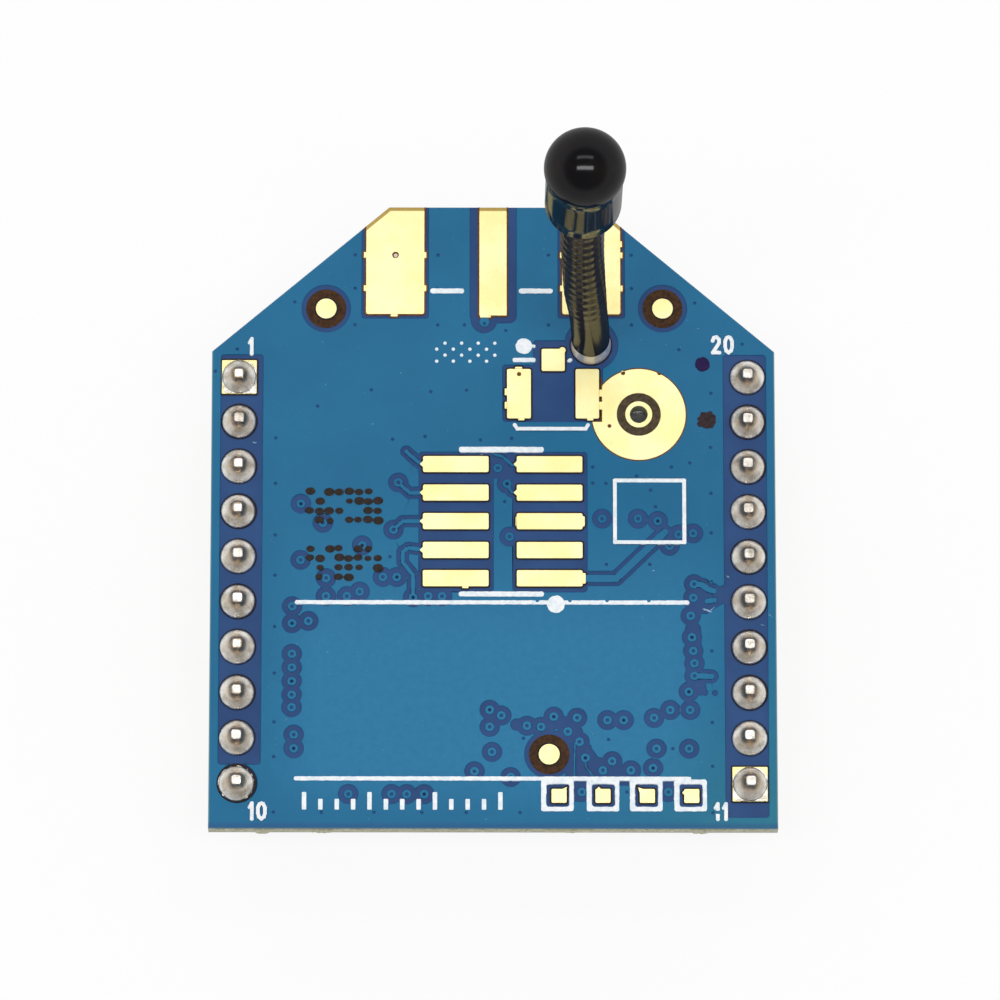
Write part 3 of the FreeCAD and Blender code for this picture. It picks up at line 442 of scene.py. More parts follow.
def grown(outline, by):
    # the outline moved outwards by an even width
    found = []
    for number, (x, y) in enumerate(outline):
        after = (number + 1) % len(outline)
        nx = ny = 0
        for (x0, y0), (x1, y1) in ((outline[number - 1], (x, y)), ((x, y), outline[after])):
            long = math.hypot(x1 - x0, y1 - y0)
            if long > 0:
                nx += (y1 - y0) / long
                ny -= (x1 - x0) / long
        square = max(0.5, nx * nx + ny * ny)
        found.append((x + 2 * by * nx / square, y + 2 * by * ny / square))
    return found


# building pieces


def laid(outlines):  # layers that are kept
    return [(True, outline) for outline in outlines]


def taken(outlines):  # layers that are cut away
    return [(False, outline) for outline in outlines]


def putOn(name, mesh, stands=()):
    made = bpy.data.objects.new(name, mesh)
    bpy.context.scene.collection.objects.link(made)
    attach(made, "root")
    if stands:
        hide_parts(*stands)


def sheetFrom(name, layers, high, look, soft=0.0, stands=(), low=0.0):
    # a thin sheet from low to high above the top face. Where outlines lie over each other the
    # last layer holds; the walls lean inwards by soft towards the open face
    spots, loops = [], []
    for _, outline in layers:
        loops.append(list(range(len(spots), len(spots) + len(outline))))
        spots += [Vector(spot) for spot in outline]
    corners, _, cells, _, _, owners = delaunay_2d_cdt(spots, [], loops, 1, 1e-5)
    kept = [cell for cell, owner in zip(cells, owners) if owner and layers[max(owner)][0]]
    sides = set()
    for cell in kept:
        sides |= set(zip(cell, cell[1:] + cell[:1]))
    rim = [(start, end) for start, end in sides if (end, start) not in sides]
    lean, meets = {}, {}
    for start, end in rim:
        way = (corners[end] - corners[start]).normalized()
        for number in (start, end):
            lean[number] = lean.get(number, Vector((0, 0))) + Vector((-way.y, way.x))
            meets[number] = meets.get(number, 0) + 1
    form = bmesh.new()
    points = {}
    for cell in kept:
        for number in cell:
            if number not in points:
                x, y = corners[number]
                shift = Vector((0, 0))
                if soft and meets.get(number) == 2:
                    shift = lean[number] * 2 * soft / max(1.0, lean[number].length_squared)
                points[number] = (form.verts.new(at(x, y, topLevel + low)),
                                  form.verts.new(at(x + shift.x, y + shift.y, topLevel + high)))
    for cell in kept:
        form.faces.new([points[number][1] for number in cell])
        form.faces.new([points[number][0] for number in reversed(cell)])
    for start, end in rim:
        form.faces.new([points[start][0], points[end][0], points[end][1], points[start][1]])
    mesh = bpy.data.meshes.new(name)
    form.to_mesh(mesh)
    form.free()
    mesh.materials.append(finish[look])
    putOn(name, mesh, stands)


def bridge(form, rings):
    # walls between rings of corners, closed at both ends
    sides = len(rings[0])
    for lower, upper in zip(rings, rings[1:]):
        for step in range(sides):
            after = (step + 1) % sides
            form.faces.new([lower[step], lower[after], upper[after], upper[step]])
    form.faces.new(list(reversed(rings[0])))
    form.faces.new(rings[-1])


def lathe(form, x, y, base, profile, sides, wobble=0.0, seed=0, lean=(0.0, 0.0)):
    # turns (radius, height) pairs round an upright axis; a third value squares the ring off
    draw = random.Random(seed)
    waves = [(draw.uniform(0, 6.28), draw.uniform(0.3, 1.0)) for _ in range(4)]
    rings = []
    for radius, height, *square in profile:
        power = square[0] if square else 2.0
        ring = []
        for step in range(sides):
            turn = 2 * math.pi * step / sides
            grow = sum(size * math.sin((number + 1) * turn + start)
                       for number, (start, size) in enumerate(waves)) * wobble
            c, s = math.cos(turn), math.sin(turn)
            reach = radius * (1 + grow) / (abs(c) ** power + abs(s) ** power) ** (1 / power)
            ring.append(form.verts.new(at(x + reach * c + lean[0] * height,
                                          y + reach * s + lean[1] * height, base + height)))
        rings.append(ring)
    bridge(form, rings)


def roundPiece(name, form, look, sharp, stands):
    # smooth, with edges where faces meet at more than sharp degrees
    mesh = bpy.data.meshes.new(name)
    bmesh.ops.recalc_face_normals(form, faces=form.faces)
    form.to_mesh(mesh)
    form.free()
    mesh.materials.append(finish[look])
    for face in mesh.polygons:
        face.use_smooth = True
    mesh.set_sharp_from_angle(angle=math.radians(sharp))
    putOn(name, mesh, stands)


# the copper pour under its teal mask

pour = {
    "rise": 0.04,  # copper and mask above the laminate
    "soft": 0.03,  # how far its edges lean
    "lower": -10.95, "shoulder": 10.15, "nose": 16.66,
    "half": 12.19, "noseHalf": 4.52,
    "ring": 0.42, "collar": 0.21, "hole": 0.058, "dot": 0.05,
    "clear": 0.28,  # bare laminate along a track, both sides together
    "floorRadius": 0.055, "floorRise": 0.012,
}

# vias that stand in a bare ring
ringedVias = [
    (-8.3, 3.35), (-7.35, 2.5), (-8.3, 0.85), (-7.2, 0.05), (-5.65, 1.5), (-4.1, 4.3),
    (-4.3, 2.2), (-4.75, 0.1), (-4.15, 0.1), (-5.75, -0.55), (-7.2, -0.75), (-6.3, -0.75),
    (-3.45, -0.8), (-2.8, -0.75), (-2.2, -0.75), (-8.65, -1.2), (-8.65, -1.95), (-7.95, -1.85),
    (-8.65, -3.3), (-8.65, -3.9), (-8.65, -4.5), (-8.65, -5.1), (-8.65, -5.65),
    (-8.55, -6.85), (-8.55, -7.45), (-6.2, -9.45), (-4.35, -9.45), (-3.7, -9.45),
    (-2.95, -9.45), (-0.8, -8.45), (-0.05, -7.6), (-0.15, -6.5), (-0.15, -5.75), (0.35, -6.0),
    (1.45, -6.45), (2.05, -6.5), (2.6, -6.05), (3.6, -6.1), (3.2, -6.7), (3.7, -7.15),
    (3.95, -7.85), (4.7, -8.4), (5.1, -8.0), (5.9, -8.4), (6.85, -8.3), (7.0, -7.45),
    (8.4, -7.45), (4.9, -6.2), (5.6, -6.2), (6.9, -6.1), (7.6, -5.75), (8.45, -5.75),
    (8.4, -4.95), (8.65, -4.25), (8.65, -3.7), (8.6, -3.15), (8.55, -2.55), (8.5, -1.6),
    (8.62, -0.8), (8.65, -0.2), (0.75, -8.7), (3.8, -9.35), (7.5, -9.35), (0.2, 4.95),
    (0.6, 4.25), (0.7, 1.9), (4.7, 2.7), (6.25, 2.7), (7.1, 2.6), (8.0, 2.0), (8.62, 2.05),
    (7.6, 1.5),
]

# small covered vias in the open pour
plainVias = [
    (-8.62, 12.37), (-6.0, 14.5), (6.0, 14.5), (-6.0, 13.0), (6.0, 13.0), (-6.0, 11.35),
    (6.0, 11.35), (-2.4, 14.5), (2.4, 14.5), (-2.4, 11.35), (2.4, 11.35), (-1.25, 11.35),
    (-2.45, 13.0), (-11.1, 10.25), (-12.05, 9.25), (-5.28, 8.43), (-2.7, 8.35), (-1.15, 8.42),
    (-7.6, 7.7), (0.55, 11.1), (8.75, 12.35), (8.05, 10.25), (10.8, 10.5), (9.43, 8.3),
    (-9.4, 6.27), (9.4, 5.88), (-9.4, 4.25), (9.4, 3.83), (-9.4, 1.95), (9.4, 2.07),
    (-9.4, 0.17), (9.4, -0.1), (-9.4, -2.1), (9.4, -3.15), (-9.4, -4.15), (-9.4, -6.3),
    (9.4, -6.3), (-9.4, -7.82), (9.4, -8.22), (-9.4, -10.25), (-7.35, -10.25), (-5.1, -10.25),
    (-3.05, -10.25), (-1.15, -10.25), (1.15, -10.25), (0.8, 6.27), (-0.55, 6.2),
    (-4.35, 6.22), (-2.95, 6.35), (4.3, 5.0), (4.3, 4.28), (4.87, 4.27), (0.5, 3.45),
    (6.2, 4.6), (7.7, 5.0), (8.5, 5.18), (7.0, 3.23), (6.8, 3.97), (4.88, 0.67), (6.75, 0.67),
    (-4.45, 1.0), (4.95, -7.05), (7.7, -7.45), (5.73, -9.35), (-0.38, 11.42), (1.3, -7.0),
    (9.4, -10.25),
]

# covered tracks: points and copper width; each runs between two bare lines
tracks = [
    ([(4.0, 0.05), (5.3, 0.05), (7.4, 2.1)], 0.36),
    ([(8.8, -0.2), (8.98, -0.22), (9.25, -0.42), (9.5, -0.5)], 0.3),
    ([(9.22, -0.95), (9.52, -0.9)], 0.27),
    ([(0.97, 5.08), (0.8, 5.08), (0.42, 5.46), (0.05, 5.56)], 0.17),
    ([(0.6, 4.25), (0.8, 3.87), (0.97, 3.85)], 0.17),
    ([(8.8, -4.25), (9.38, -4.27)], 0.29),
    ([(-3.1, 5.12), (-3.3, 5.25), (-3.75, 5.68)], 0.22),
    ([(-3.1, 3.85), (-3.6, 3.83), (-3.98, 4.18)], 0.22),
    ([(-3.1, 2.58), (-3.9, 2.58), (-4.18, 2.32)], 0.22),
    ([(-3.1, 1.32), (-3.65, 1.4), (-3.9, 1.22), (-3.9, 0.75), (-3.45, 0.2), (-3.45, -0.62)], 0.22),
]


edgeLand = {"overhang": 1.02, "width": 2.56, "length": 4.84, "clear": 0.16}


def edgeLandOutline(side, grow):
    p, half, nose = edgeLand, pour["noseHalf"], pour["nose"]
    outer = half + p["overhang"] + grow
    inner = half + p["overhang"] - p["width"] - grow
    back = nose - p["length"] - grow
    slant = nose - (outer - half) * (nose - pour["shoulder"]) / (pour["half"] - half)
    found = [(inner, back + 0.1), (inner + 0.03, back + 0.03), (inner + 0.1, back),
             (outer - 0.1, back), (outer - 0.03, back + 0.03), (outer, back + 0.1),
             (outer, slant), (half, nose), (inner, nose)]
    return found if side > 0 else [(-x, y) for x, y in reversed(found)]


def makeCopperPour():
    p = pour
    board = [(-p["half"], p["lower"]), (p["half"], p["lower"]), (p["half"], p["shoulder"]),
             (p["noseHalf"], p["nose"]), (-p["noseHalf"], p["nose"]), (-p["half"], p["shoulder"])]
    bare = [
        # beside the pins
        barOf(-11.78, -8.15, -9.98, 10.0, 0.12), ringOf(-rowX + 0.04, -8.97, 0.86, 40),
        barOf(9.97, -10.45, 11.8, 10.0, 0.12),
        # nose lands, whip and connector site
        edgeLandOutline(-1, edgeLand["clear"]), edgeLandOutline(1, edgeLand["clear"]),
        barOf(-1.0, 11.45, 1.0, p["nose"] + 0.5, 0.3), ringOf(-0.4, 11.55, 0.55),
        ringOf(4.25, 10.45, 1.15, 44), barOf(1.75, 9.0, 4.3, 10.65, 0.15),
        barOf(0.42, 7.03, 4.74, 9.55, 0.12), ringOf(1.33, 10.4, 0.2),
        # alignment dots, program fields and the dark squares of the jumpers
        *(ringOf(x, y, 1.05, 40) for x, y in dotPlaces),
        barOf(-3.2, -0.55, 0.0, 5.65, 0.15), barOf(0.85, -0.55, 4.05, 5.65, 0.15),
        *(midBar(x, -9.5, 1.06, 1.06, 0.08) for x in jumperX),
        # bare laminate by the right row
        *runOf([(8.6, -2.2), (8.62, -4.2)], 0.66), *runOf([(8.9, -4.5), (8.95, -4.9)], 0.4),
        ringOf(9.1, -5.0, 0.11, 14), ringOf(9.52, -5.0, 0.11, 14),
        barOf(8.3, -1.5, 9.35, -0.5, 0.2), *runOf([(9.3, -0.85), (10.05, -0.55)], 0.62),
        *runOf([(9.4, -1.15), (10.05, -0.8)], 0.3),
        # and round the lower dot
        *runOf([(2.4, -8.6), (2.4, -6.4), (1.0, -6.4)], 0.5),
        *runOf([(2.6, -6.2), (3.4, -6.5), (3.8, -7.4), (4.3, -8.1), (5.2, -8.3)], 0.62),
        barOf(3.1, -8.8, 4.2, -7.3, 0.05), barOf(4.1, -8.8, 5.9, -8.3, 0.05),
        barOf(3.35, -9.75, 4.0, -8.8, 0.1), barOf(5.3, -9.05, 6.1, -8.8, 0.04),
        barOf(7.2, -9.05, 8.0, -8.8, 0.04), barOf(-0.1, 4.5, 0.9, 5.62, 0.1),
    ]
    copper = [ringOf(-0.38, 11.5, 0.24, 20), *runOf([(3.5, -7.2), (3.5, -8.8)], 0.1),
              *runOf([(3.97, -7.95), (3.97, -8.25), (4.35, -8.75)], 0.11)]
    for points, width in tracks:
        bare += runOf(points, width + p["clear"])
        copper += runOf(points, width)
    for x, y in ringedVias:
        bare.append(ringOf(x, y, p["ring"], 26))
        copper.append(ringOf(x, y, p["collar"], 20))
    holes = [ringOf(x, y, p["hole"], 12) for x, y in ringedVias]
    holes += [ringOf(x, y, p["dot"], 10) for x, y in plainVias]
    holes.append(ringOf(*probeAt, 2.06, 72))
    layers = laid([board]) + taken(bare) + laid(copper) + taken(holes)
    sheetFrom("copperPour", layers, p["rise"], "tealMask", p["soft"], ("ground_foil",))
    # the floors of the covered vias, dark in some of them
    floors = laid(ringOf(x, y, p["floorRadius"], 10) for x, y in ringedVias[::4])
    sheetFrom("viaFloors", floors, p["floorRise"], "darkHole")


print("copper pour")
makeCopperPour()


# gold lands

landForm = {
    "rise": 0.05, "soft": 0.02, "corner": 0.09,
    "shadowWidth": 0.05, "shadowRise": 0.035,  # the painted shadow line round a land, where the mask step ends
    "nubX": (-5.56, -2.97, 2.97, 5.56), "nubY": (14.5, 13.0),
    "programRows": (5.12, 3.85, 2.58, 1.30, 0.05),
    "holes": ((-4.25, 14.5, 0.125), (1.12, 9.15, 0.1), (5.03, 6.83, 0.1), (5.63, 9.2, 0.1),
              (7.2, 9.2, 0.1)),
    "holeRise": 0.02, "plugRise": 0.03,
    "probe": 2.05, "probeGap": 0.94, "probeInner": 0.6, "probeHole": 0.37,
    "dot": 0.465, "dotRing": 0.87, "dotRingRise": 0.012,
    # the pointed ear of each jumper land, from its middle
    "ears": (((0.1, 0.3), (0.34, 0.3), (0.36, 0.42)), ((-0.3, 0.3), (-0.05, 0.3), (-0.18, 0.42)),
             ((-0.34, 0.12), (-0.1, 0.3), (-0.42, 0.4)),
             ((-0.33, 0.02), (-0.33, 0.27), (-0.43, 0.14))),
    "jumperY": -9.52,
}


def beyondNose():  # what lies outside the board round its nose
    p = pour
    side, top = p["half"] + 1, p["nose"] + 1
    return [(p["half"], p["shoulder"]), (side, p["shoulder"]), (side, top), (-side, top),
            (-side, p["shoulder"]), (-p["half"], p["shoulder"]), (-p["noseHalf"], p["nose"]),
            (p["noseHalf"], p["nose"])]


def goldLands(name, stands, outlines, cuts=(), line="paintedShadow"):
    # gold sheets, with a painted shadow line round them where the mask step ends
    layers = laid(outlines) + taken(cuts)
    sheetFrom(name, layers, landForm["rise"], "goldPlate", landForm["soft"], stands)
    # the painted shadow line, grown round each land
    edge = laid(grown(outline, landForm["shadowWidth"]) for outline in outlines)
    edge += taken(outlines) + taken([beyondNose()])
    sheetFrom(name + "Edge", edge, landForm["shadowRise"], line)


def nub(x, y, wide=0.16, tall=0.3):
    return midBar(x, y, wide, tall, 0.05)


def flatNub(x, y, wide):
    return midBar(x, y, wide, 0.14, 0.04)


def spur(x, y):  # a pointed stub towards the left
    return [(x, y - 0.16), (x + 0.05, y), (x, y + 0.16), (x - 0.14, y + 0.03), (x - 0.14, y - 0.03)]


def makeNoseLands():
    lands = [edgeLandOutline(-1, 0.0), edgeLandOutline(1, 0.0),
             barOf(-0.62, 11.76, 0.6, pour["nose"], 0.03)]
    lands += [nub(x, y) for x in landForm["nubX"] for y in landForm["nubY"]]
    lands += [nub(2.97, 16.0), nub(5.54, 15.0), flatNub(-4.3, 11.78, 0.34),
              flatNub(-0.34, 11.74, 0.5)]
    # the brown line round these lands is painted shadow
    goldLands("edgeLands", ("edge_lands",), lands, [ringOf(-4.25, 14.5, 0.13, 16)], "brownEdge")
    plug = laid([ringOf(-4.24, 14.48, 0.09, 14)])
    sheetFrom("noseHole", plug, landForm["plugRise"], "palePlug")


def makeProgramLands():
    corner = landForm["corner"]
    lands = []
    for number, y in enumerate(landForm["programRows"]):
        lands += [midBar(x, y, 2.87, 0.75, corner) for x in (-1.615, 2.435)]
        lands += [spur(x, y) for x, rows in ((-3.03, 4), (1.02, 2)) if number < rows]
    lands += [flatNub(-1.2, -0.34, 0.3), midBar(2.46, 2.58, 3.02, 0.5, corner),
              midBar(3.9, 0.05, 0.2, 0.5, 0.06)]
    goldLands("programLands", ("program_lands",), lands)
    holes = laid(ringOf(*hole, 14) for hole in landForm["holes"])
    sheetFrom("landHoles", holes, landForm["holeRise"], "brownEdge")


def makeConnectorLands():
    corner = landForm["corner"]
    lands = [midBar(2.6, 9.785, 1.04, 1.03, corner), ringOf(3.0, 10.22, 0.16, 20),
             midBar(1.115, 8.27, 1.07, 2.25, corner), midBar(4.075, 8.27, 1.05, 2.25, corner),
             nub(0.56, 8.35, 0.16, 0.34), nub(0.56, 7.75, 0.16, 0.34), flatNub(1.1, 9.42, 0.34),
             flatNub(1.22, 7.13, 0.3), flatNub(4.2, 7.13, 0.3)]
    goldLands("connectorLands", ("connector_lands",), lands, [ringOf(1.12, 9.15, 0.08, 14)])


def makeProbeLand():
    p = landForm
    inner = [ringOf(*probeAt, p["probeInner"], 48), barOf(4.58, 8.13, 4.9, 8.47, 0.03),
             barOf(4.58, 7.55, 4.9, 7.93, 0.03)]
    holes = [ringOf(*probeAt, p["probeHole"], 40), ringOf(5.03, 6.83, 0.07, 12),
             ringOf(5.63, 9.2, 0.08, 12), ringOf(7.2, 9.2, 0.08, 12)]
    layers = laid([ringOf(*probeAt, p["probe"], 96)])
    layers += taken([barOf(3.0, 7.03, 4.70, 10.2), ringOf(*probeAt, p["probeGap"], 60)])
    layers += laid(inner) + taken(holes)
    sheetFrom("probeLand", layers, p["rise"], "goldPlate", p["soft"], ("probe_land",))
    # a brown painted shadow line round the probe land
    rim = laid([ringOf(*probeAt, p["probe"] + 0.035, 96)])
    rim += taken([ringOf(*probeAt, p["probe"], 96), barOf(3.0, 7.03, 4.66, 10.2)])
    rim += laid([barOf(4.62, 7.0, 4.70, 8.13), barOf(4.62, 8.47, 4.70, 9.0),
                 barOf(4.35, 6.98, 4.70, 7.08)])
    rim += taken([barOf(4.5, 7.55, 4.8, 7.93)])
    sheetFrom("probeLandShadowLine", rim, p["shadowRise"], "brownEdge")


def makeSmallLands():
    p = landForm
    dots = [ringOf(x, y, p["dot"], 40) for x, y in dotPlaces]
    goldLands("referenceDots", ("reference_dots",), dots)
    jumpers = []
    for x, ear in zip(jumperX, p["ears"]):
        jumpers.append(midBar(x, p["jumperY"], 0.68, 0.64, 0.07))
        jumpers.append([(x + dx, dy + p["jumperY"]) for dx, dy in ear])
    goldLands("jumperLands", ("jumper_lands",), jumpers)
    first = ((-rowX, 9.0), (rowX, -9.0))
    squares = [midBar(x, y, 1.54, 1.54, 0.05) for x, y in first]
    goldLands("squareLands", ("square_lands",), squares,
              [ringOf(x, y, 0.74, 44) for x, y in first])


def makeDarkRings():
    p = landForm
    rings = []
    for spot in dotPlaces:
        rings += laid([ringOf(*spot, p["dotRing"], 44)])
        rings += taken([ringOf(*spot, p["dot"] - 0.005, 40)])
    sheetFrom("dotRings", rings, p["dotRingRise"], "brownLaminate")
    rings = laid([ringOf(*probeAt, p["probeGap"] + 0.01, 60)])
    rings += taken([ringOf(*probeAt, p["probeInner"] - 0.01, 48)])
    sheetFrom("probeRing", rings, p["holeRise"], "darkRing")


print("gold lands")
makeNoseLands()
makeProgramLands()
makeConnectorLands()
makeProbeLand()
makeSmallLands()
makeDarkRings()


# burrs left on the lower edge where the board was parted

burrForm = {
    "low": -0.55, "high": -0.12,  # heights from the top face
    "reach": 11.95,  # how far they run to either side
    "fine": 0.05, "step": 0.12, "overlap": 0.02,
    "lumps": ((-9.85, 0.4, 0.09), (-7.3, 0.7, 0.05), (3.4, 0.9, 0.04), (8.9, 0.5, 0.07)),
}


def makeBurrs():
    p, lower = burrForm, pour["lower"]
    draw = random.Random(14)
    x, back = -p["reach"], lower + p["overlap"]
    outline = []
    while x < p["reach"]:
        depth = draw.uniform(0.005, p["fine"])
        for middle, half, extra in p["lumps"]:
            depth += extra * max(0.0, 1 - ((x - middle) / half) ** 2)
        outline.append((x, lower - depth))
        x += p["step"] * draw.uniform(0.7, 1.4)
    outline += [(p["reach"], back), (-p["reach"], back)]
    sheetFrom("edgeBurrs", laid([outline]), p["high"], "rawLaminate", soft=0.01, low=p["low"])


print("burrs")
makeBurrs()


# white print

printForm = {
    "rise": 0.07, "ragged": 0.008, "roundRagged": 0.015, "boxRagged": 0.01,
    "bars": (  # from, height on the board, to, and how tall
        (-8.55, -1.02, 8.45, 0.21), (-8.55, -8.77, 8.5, 0.21), (-1.5, 5.77, 2.2, 0.27),
        (-1.5, -0.65, 2.2, 0.25), (-2.75, 12.88, -1.25, 0.25), (1.1, 12.88, 2.6, 0.25),
        (0.82, 9.78, 1.85, 0.22)),
    "bracket": [(0.93, 6.87), (1.04, 6.7), (4.0, 6.7), (4.1, 6.87)],
    "chips": (1.9, 3.3, 4.9, 6.7),  # where the long line is chipped
    "boxes": (2.75, 4.70, 6.55, 8.45),
    "numbers": (("1", -10.66, 10.38, 0.86), ("20", 9.42, 10.47, 0.9),
                ("10", -10.51, -10.2, 0.88), ("11", 9.42, -10.2, 0.86)),
    "numberLine": 0.2, "numberGap": 0.05,
}
numerals = {  # width, and the stroke within a unit square
    "0": (0.5, [(0.5, 0), (0.85, 0.12), (1, 0.35), (1, 0.72), (0.8, 0.94), (0.5, 1), (0.2, 0.94),
                (0, 0.72), (0, 0.35), (0.15, 0.12), (0.5, 0)]),
    "1": (0.3, [(0, 0.74), (0.9, 1), (0.9, 0)]),
    "2": (0.49, [(0, 0.76), (0.2, 0.96), (0.6, 1), (0.95, 0.84), (0.95, 0.6), (0, 0), (1, 0)]),
}
plainForm = {
    "box": (5.25, 1.65, 8.25, 4.4), "boxLine": 0.2,
    "ticks": (-8.2, 0.9, -10.15), "tickPitch": 0.7, "tickTall": (0.8, 0.5), "tickWide": 0.22,
    "dots": (-2.45, 9.72, 8, 4), "dotPitch": (0.36, 0.27), "dotRadius": 0.09,
}


def digitsAt(text, left, y, tall):
    width = printForm["numberLine"]
    found = []
    for letter in text:
        wide, stroke = numerals[letter]
        path = [(left + width / 2 + (wide - width) * sx,
                 y - tall / 2 + width / 2 + (tall - width) * sy) for sx, sy in stroke]
        found += runOf(path, width)
        left += wide + printForm["numberGap"]
    return found


def plainMarks():
    # an open box, a row of ticks and a small field of dots
    p = plainForm
    x0, y0, x1, y1 = p["box"]
    found = runOf([(x0, y0), (x1, y0), (x1, y1), (x0, y1), (x0, y0)], p["boxLine"])
    x, end, y = p["ticks"]
    number = 0
    while x <= end:
        tall = p["tickTall"][0 if number % 4 == 0 else 1]
        found.append(barOf(x, y, x + p["tickWide"], y + tall, 0.05))
        x += p["tickPitch"]
        number += 1
    x, y, across, rows = p["dots"]
    wide, tall = p["dotPitch"]
    for column in range(across):
        for row in range(rows):
            if (column + row) % 2 == 0:
                found.append(ringOf(x + column * wide, y + row * tall, p["dotRadius"], 12))
    return found


def makePrint():
    p = printForm
    marks = []
    for number, (x0, y, x1, tall) in enumerate(p["bars"]):
        bar = barOf(x0, y - tall / 2, x1, y + tall / 2, tall * 0.45)
        marks += laid([roughOf(bar, p["ragged"], seed=number)])
    marks += laid([
        roughOf(ringOf(1.33, 10.4, 0.37, 30), p["roundRagged"], seed=21),
        midBar(1.74, 10.4, 0.2, 0.16, 0.06),
        roughOf(ringOf(2.7, -1.1, 0.4, 30), p["roundRagged"], seed=22),
        ringOf(3.32, 9.77, 0.09, 14, 1.4, 0.5), *runOf(p["bracket"], 0.2)])
    marks += taken(ringOf(x, -0.93, 0.07, 8) for x in p["chips"])
    for x in p["boxes"]:
        outer, inner = midBar(x, -9.5, 1.42, 1.42, 0.1), midBar(x + 0.02, -9.5, 0.97, 0.97, 0.1)
        marks += laid([roughOf(outer, p["boxRagged"], seed=int(x * 9))])
        marks += taken([roughOf(inner, p["boxRagged"], seed=int(x * 7))])
    for number in p["numbers"]:
        marks += laid(digitsAt(*number))
    marks += taken([roughOf(barOf(9.4, -10.29, 9.75, -10.18), 0.012, seed=3)])
    marks += laid(plainMarks())
    sheetFrom("whitePrint", marks, p["rise"], "whitePrint", 0.02, ("printed_marks",))


print("print")
makePrint()


# ink, smears and painted sheen

inkForm = {
    "purple": (9.07, 9.6, 0.35), "brown": (9.25, 7.1, 0.42),
    "field": (-7.9, 0.1, 8, 10), "pitch": 0.42, "dot": 0.17, "gap": (4, 5),
    "missed": 0.3, "stray": 0.03,
    "rise": 0.055, "sheenSmearRise": 0.049,
    # pale smears on the mask, partly real and partly painted sheen
    "sheenSmears": (  # place, length, width and turn
        (9.22, -1.36, 0.5, 0.09, -0.35), (9.42, -1.3, 0.35, 0.06, 0.7),
        (-10.32, 6.08, 0.18, 0.07, -0.2), (11.95, -1.6, 0.28, 0.05, -0.5),
        (11.6, -2.0, 0.16, 0.05, -0.3), (10.12, 0.14, 0.15, 0.06, -0.4),
        (6.9, 0.4, 0.14, 0.07, 0.2), (-0.5, 5.55, 0.14, 0.05, 0.4), (-4.0, 9.2, 0.1, 0.05, 0.8),
        (8.9, 11.2, 0.12, 0.05, 0.3), (-8.9, -6.2, 0.16, 0.05, 0.6), (-5.2, 6.9, 0.1, 0.04, 0.1)),
}


def makeInk():
    p = inkForm
    spot = roughOf(ringOf(*p["purple"], 30), 0.02, seed=31)
    sheetFrom("purpleSpot", laid([spot]), p["rise"], "purpleInk", 0.03)
    spot = roughOf(ringOf(*p["brown"], 24, 1.05), 0.05, seed=32)
    sheetFrom("brownSpot", laid([spot]), p["rise"], "brownInk", 0.03)
    # a field of black ink dots, some of them missed
    draw = random.Random(8)
    x, y, across, rows = p["field"]
    pitch, stray = p["pitch"], p["stray"]
    dots = []
    for row in range(rows):
        for column in range(across):
            if row in p["gap"] or draw.random() < p["missed"]:
                continue
            dots.append(ringOf(x + column * pitch + draw.uniform(-stray, stray),
                               y + row * pitch + draw.uniform(-stray, stray),
                               p["dot"] * draw.uniform(0.8, 1.2), 12, 1.25))
    sheetFrom("blackDots", laid(dots), p["rise"], "blackInk", 0.02)
    # pale smears, partly real and partly painted sheen
    marks = []
    for number, (x, y, wide, tall, turn) in enumerate(p["sheenSmears"]):
        outline = ringOf(x, y, tall / 2, 18, wide / tall, turn)
        marks.append(roughOf(outline, 0.012, 0.08, number + 40))
    sheetFrom("sheenSmears", laid(marks), p["sheenSmearRise"], "sheenSmear", 0.02)


print("ink and wear")
makeInk()


# solder joints and pins

jointForm = {
    "profile": [(0.735, 0.0), (0.755, 0.03), (0.75, 0.085), (0.72, 0.14), (0.67, 0.19),
                (0.60, 0.235), (0.53, 0.28), (0.46, 0.335), (0.395, 0.40, 2.1), (0.335, 0.475, 2.3),
                (0.285, 0.56, 2.7), (0.248, 0.65, 3.3), (0.225, 0.74, 4.0), (0.205, 0.80, 4.6),
                (0.185, 0.815, 4.6)],
    "wobble": 0.006, "foot": 0.25,  # below foot each joint has a width of its own
    # solder that ran over the square land, round its middle
    "spread": [(-0.6, -0.76), (0.76, -0.76), (0.76, 0.3), (0.62, 0.56), (0.4, 0.72), (-0.3, 0.72),
               (-0.56, 0.58), (-0.76, 0.25), (-0.76, -0.55)],
    "spreadRise": 0.07, "seat": 0.7,
    # a painted shadow ring round each joint, set a little off its middle
    "outline": 0.805, "jointShadowShift": (0.015, 0.02), "jointShadowRise": 0.045,
    # and that spilled round the last joint
    "spill": 0.79, "spillRise": 0.08, "spillShadowGrow": 0.07,
}


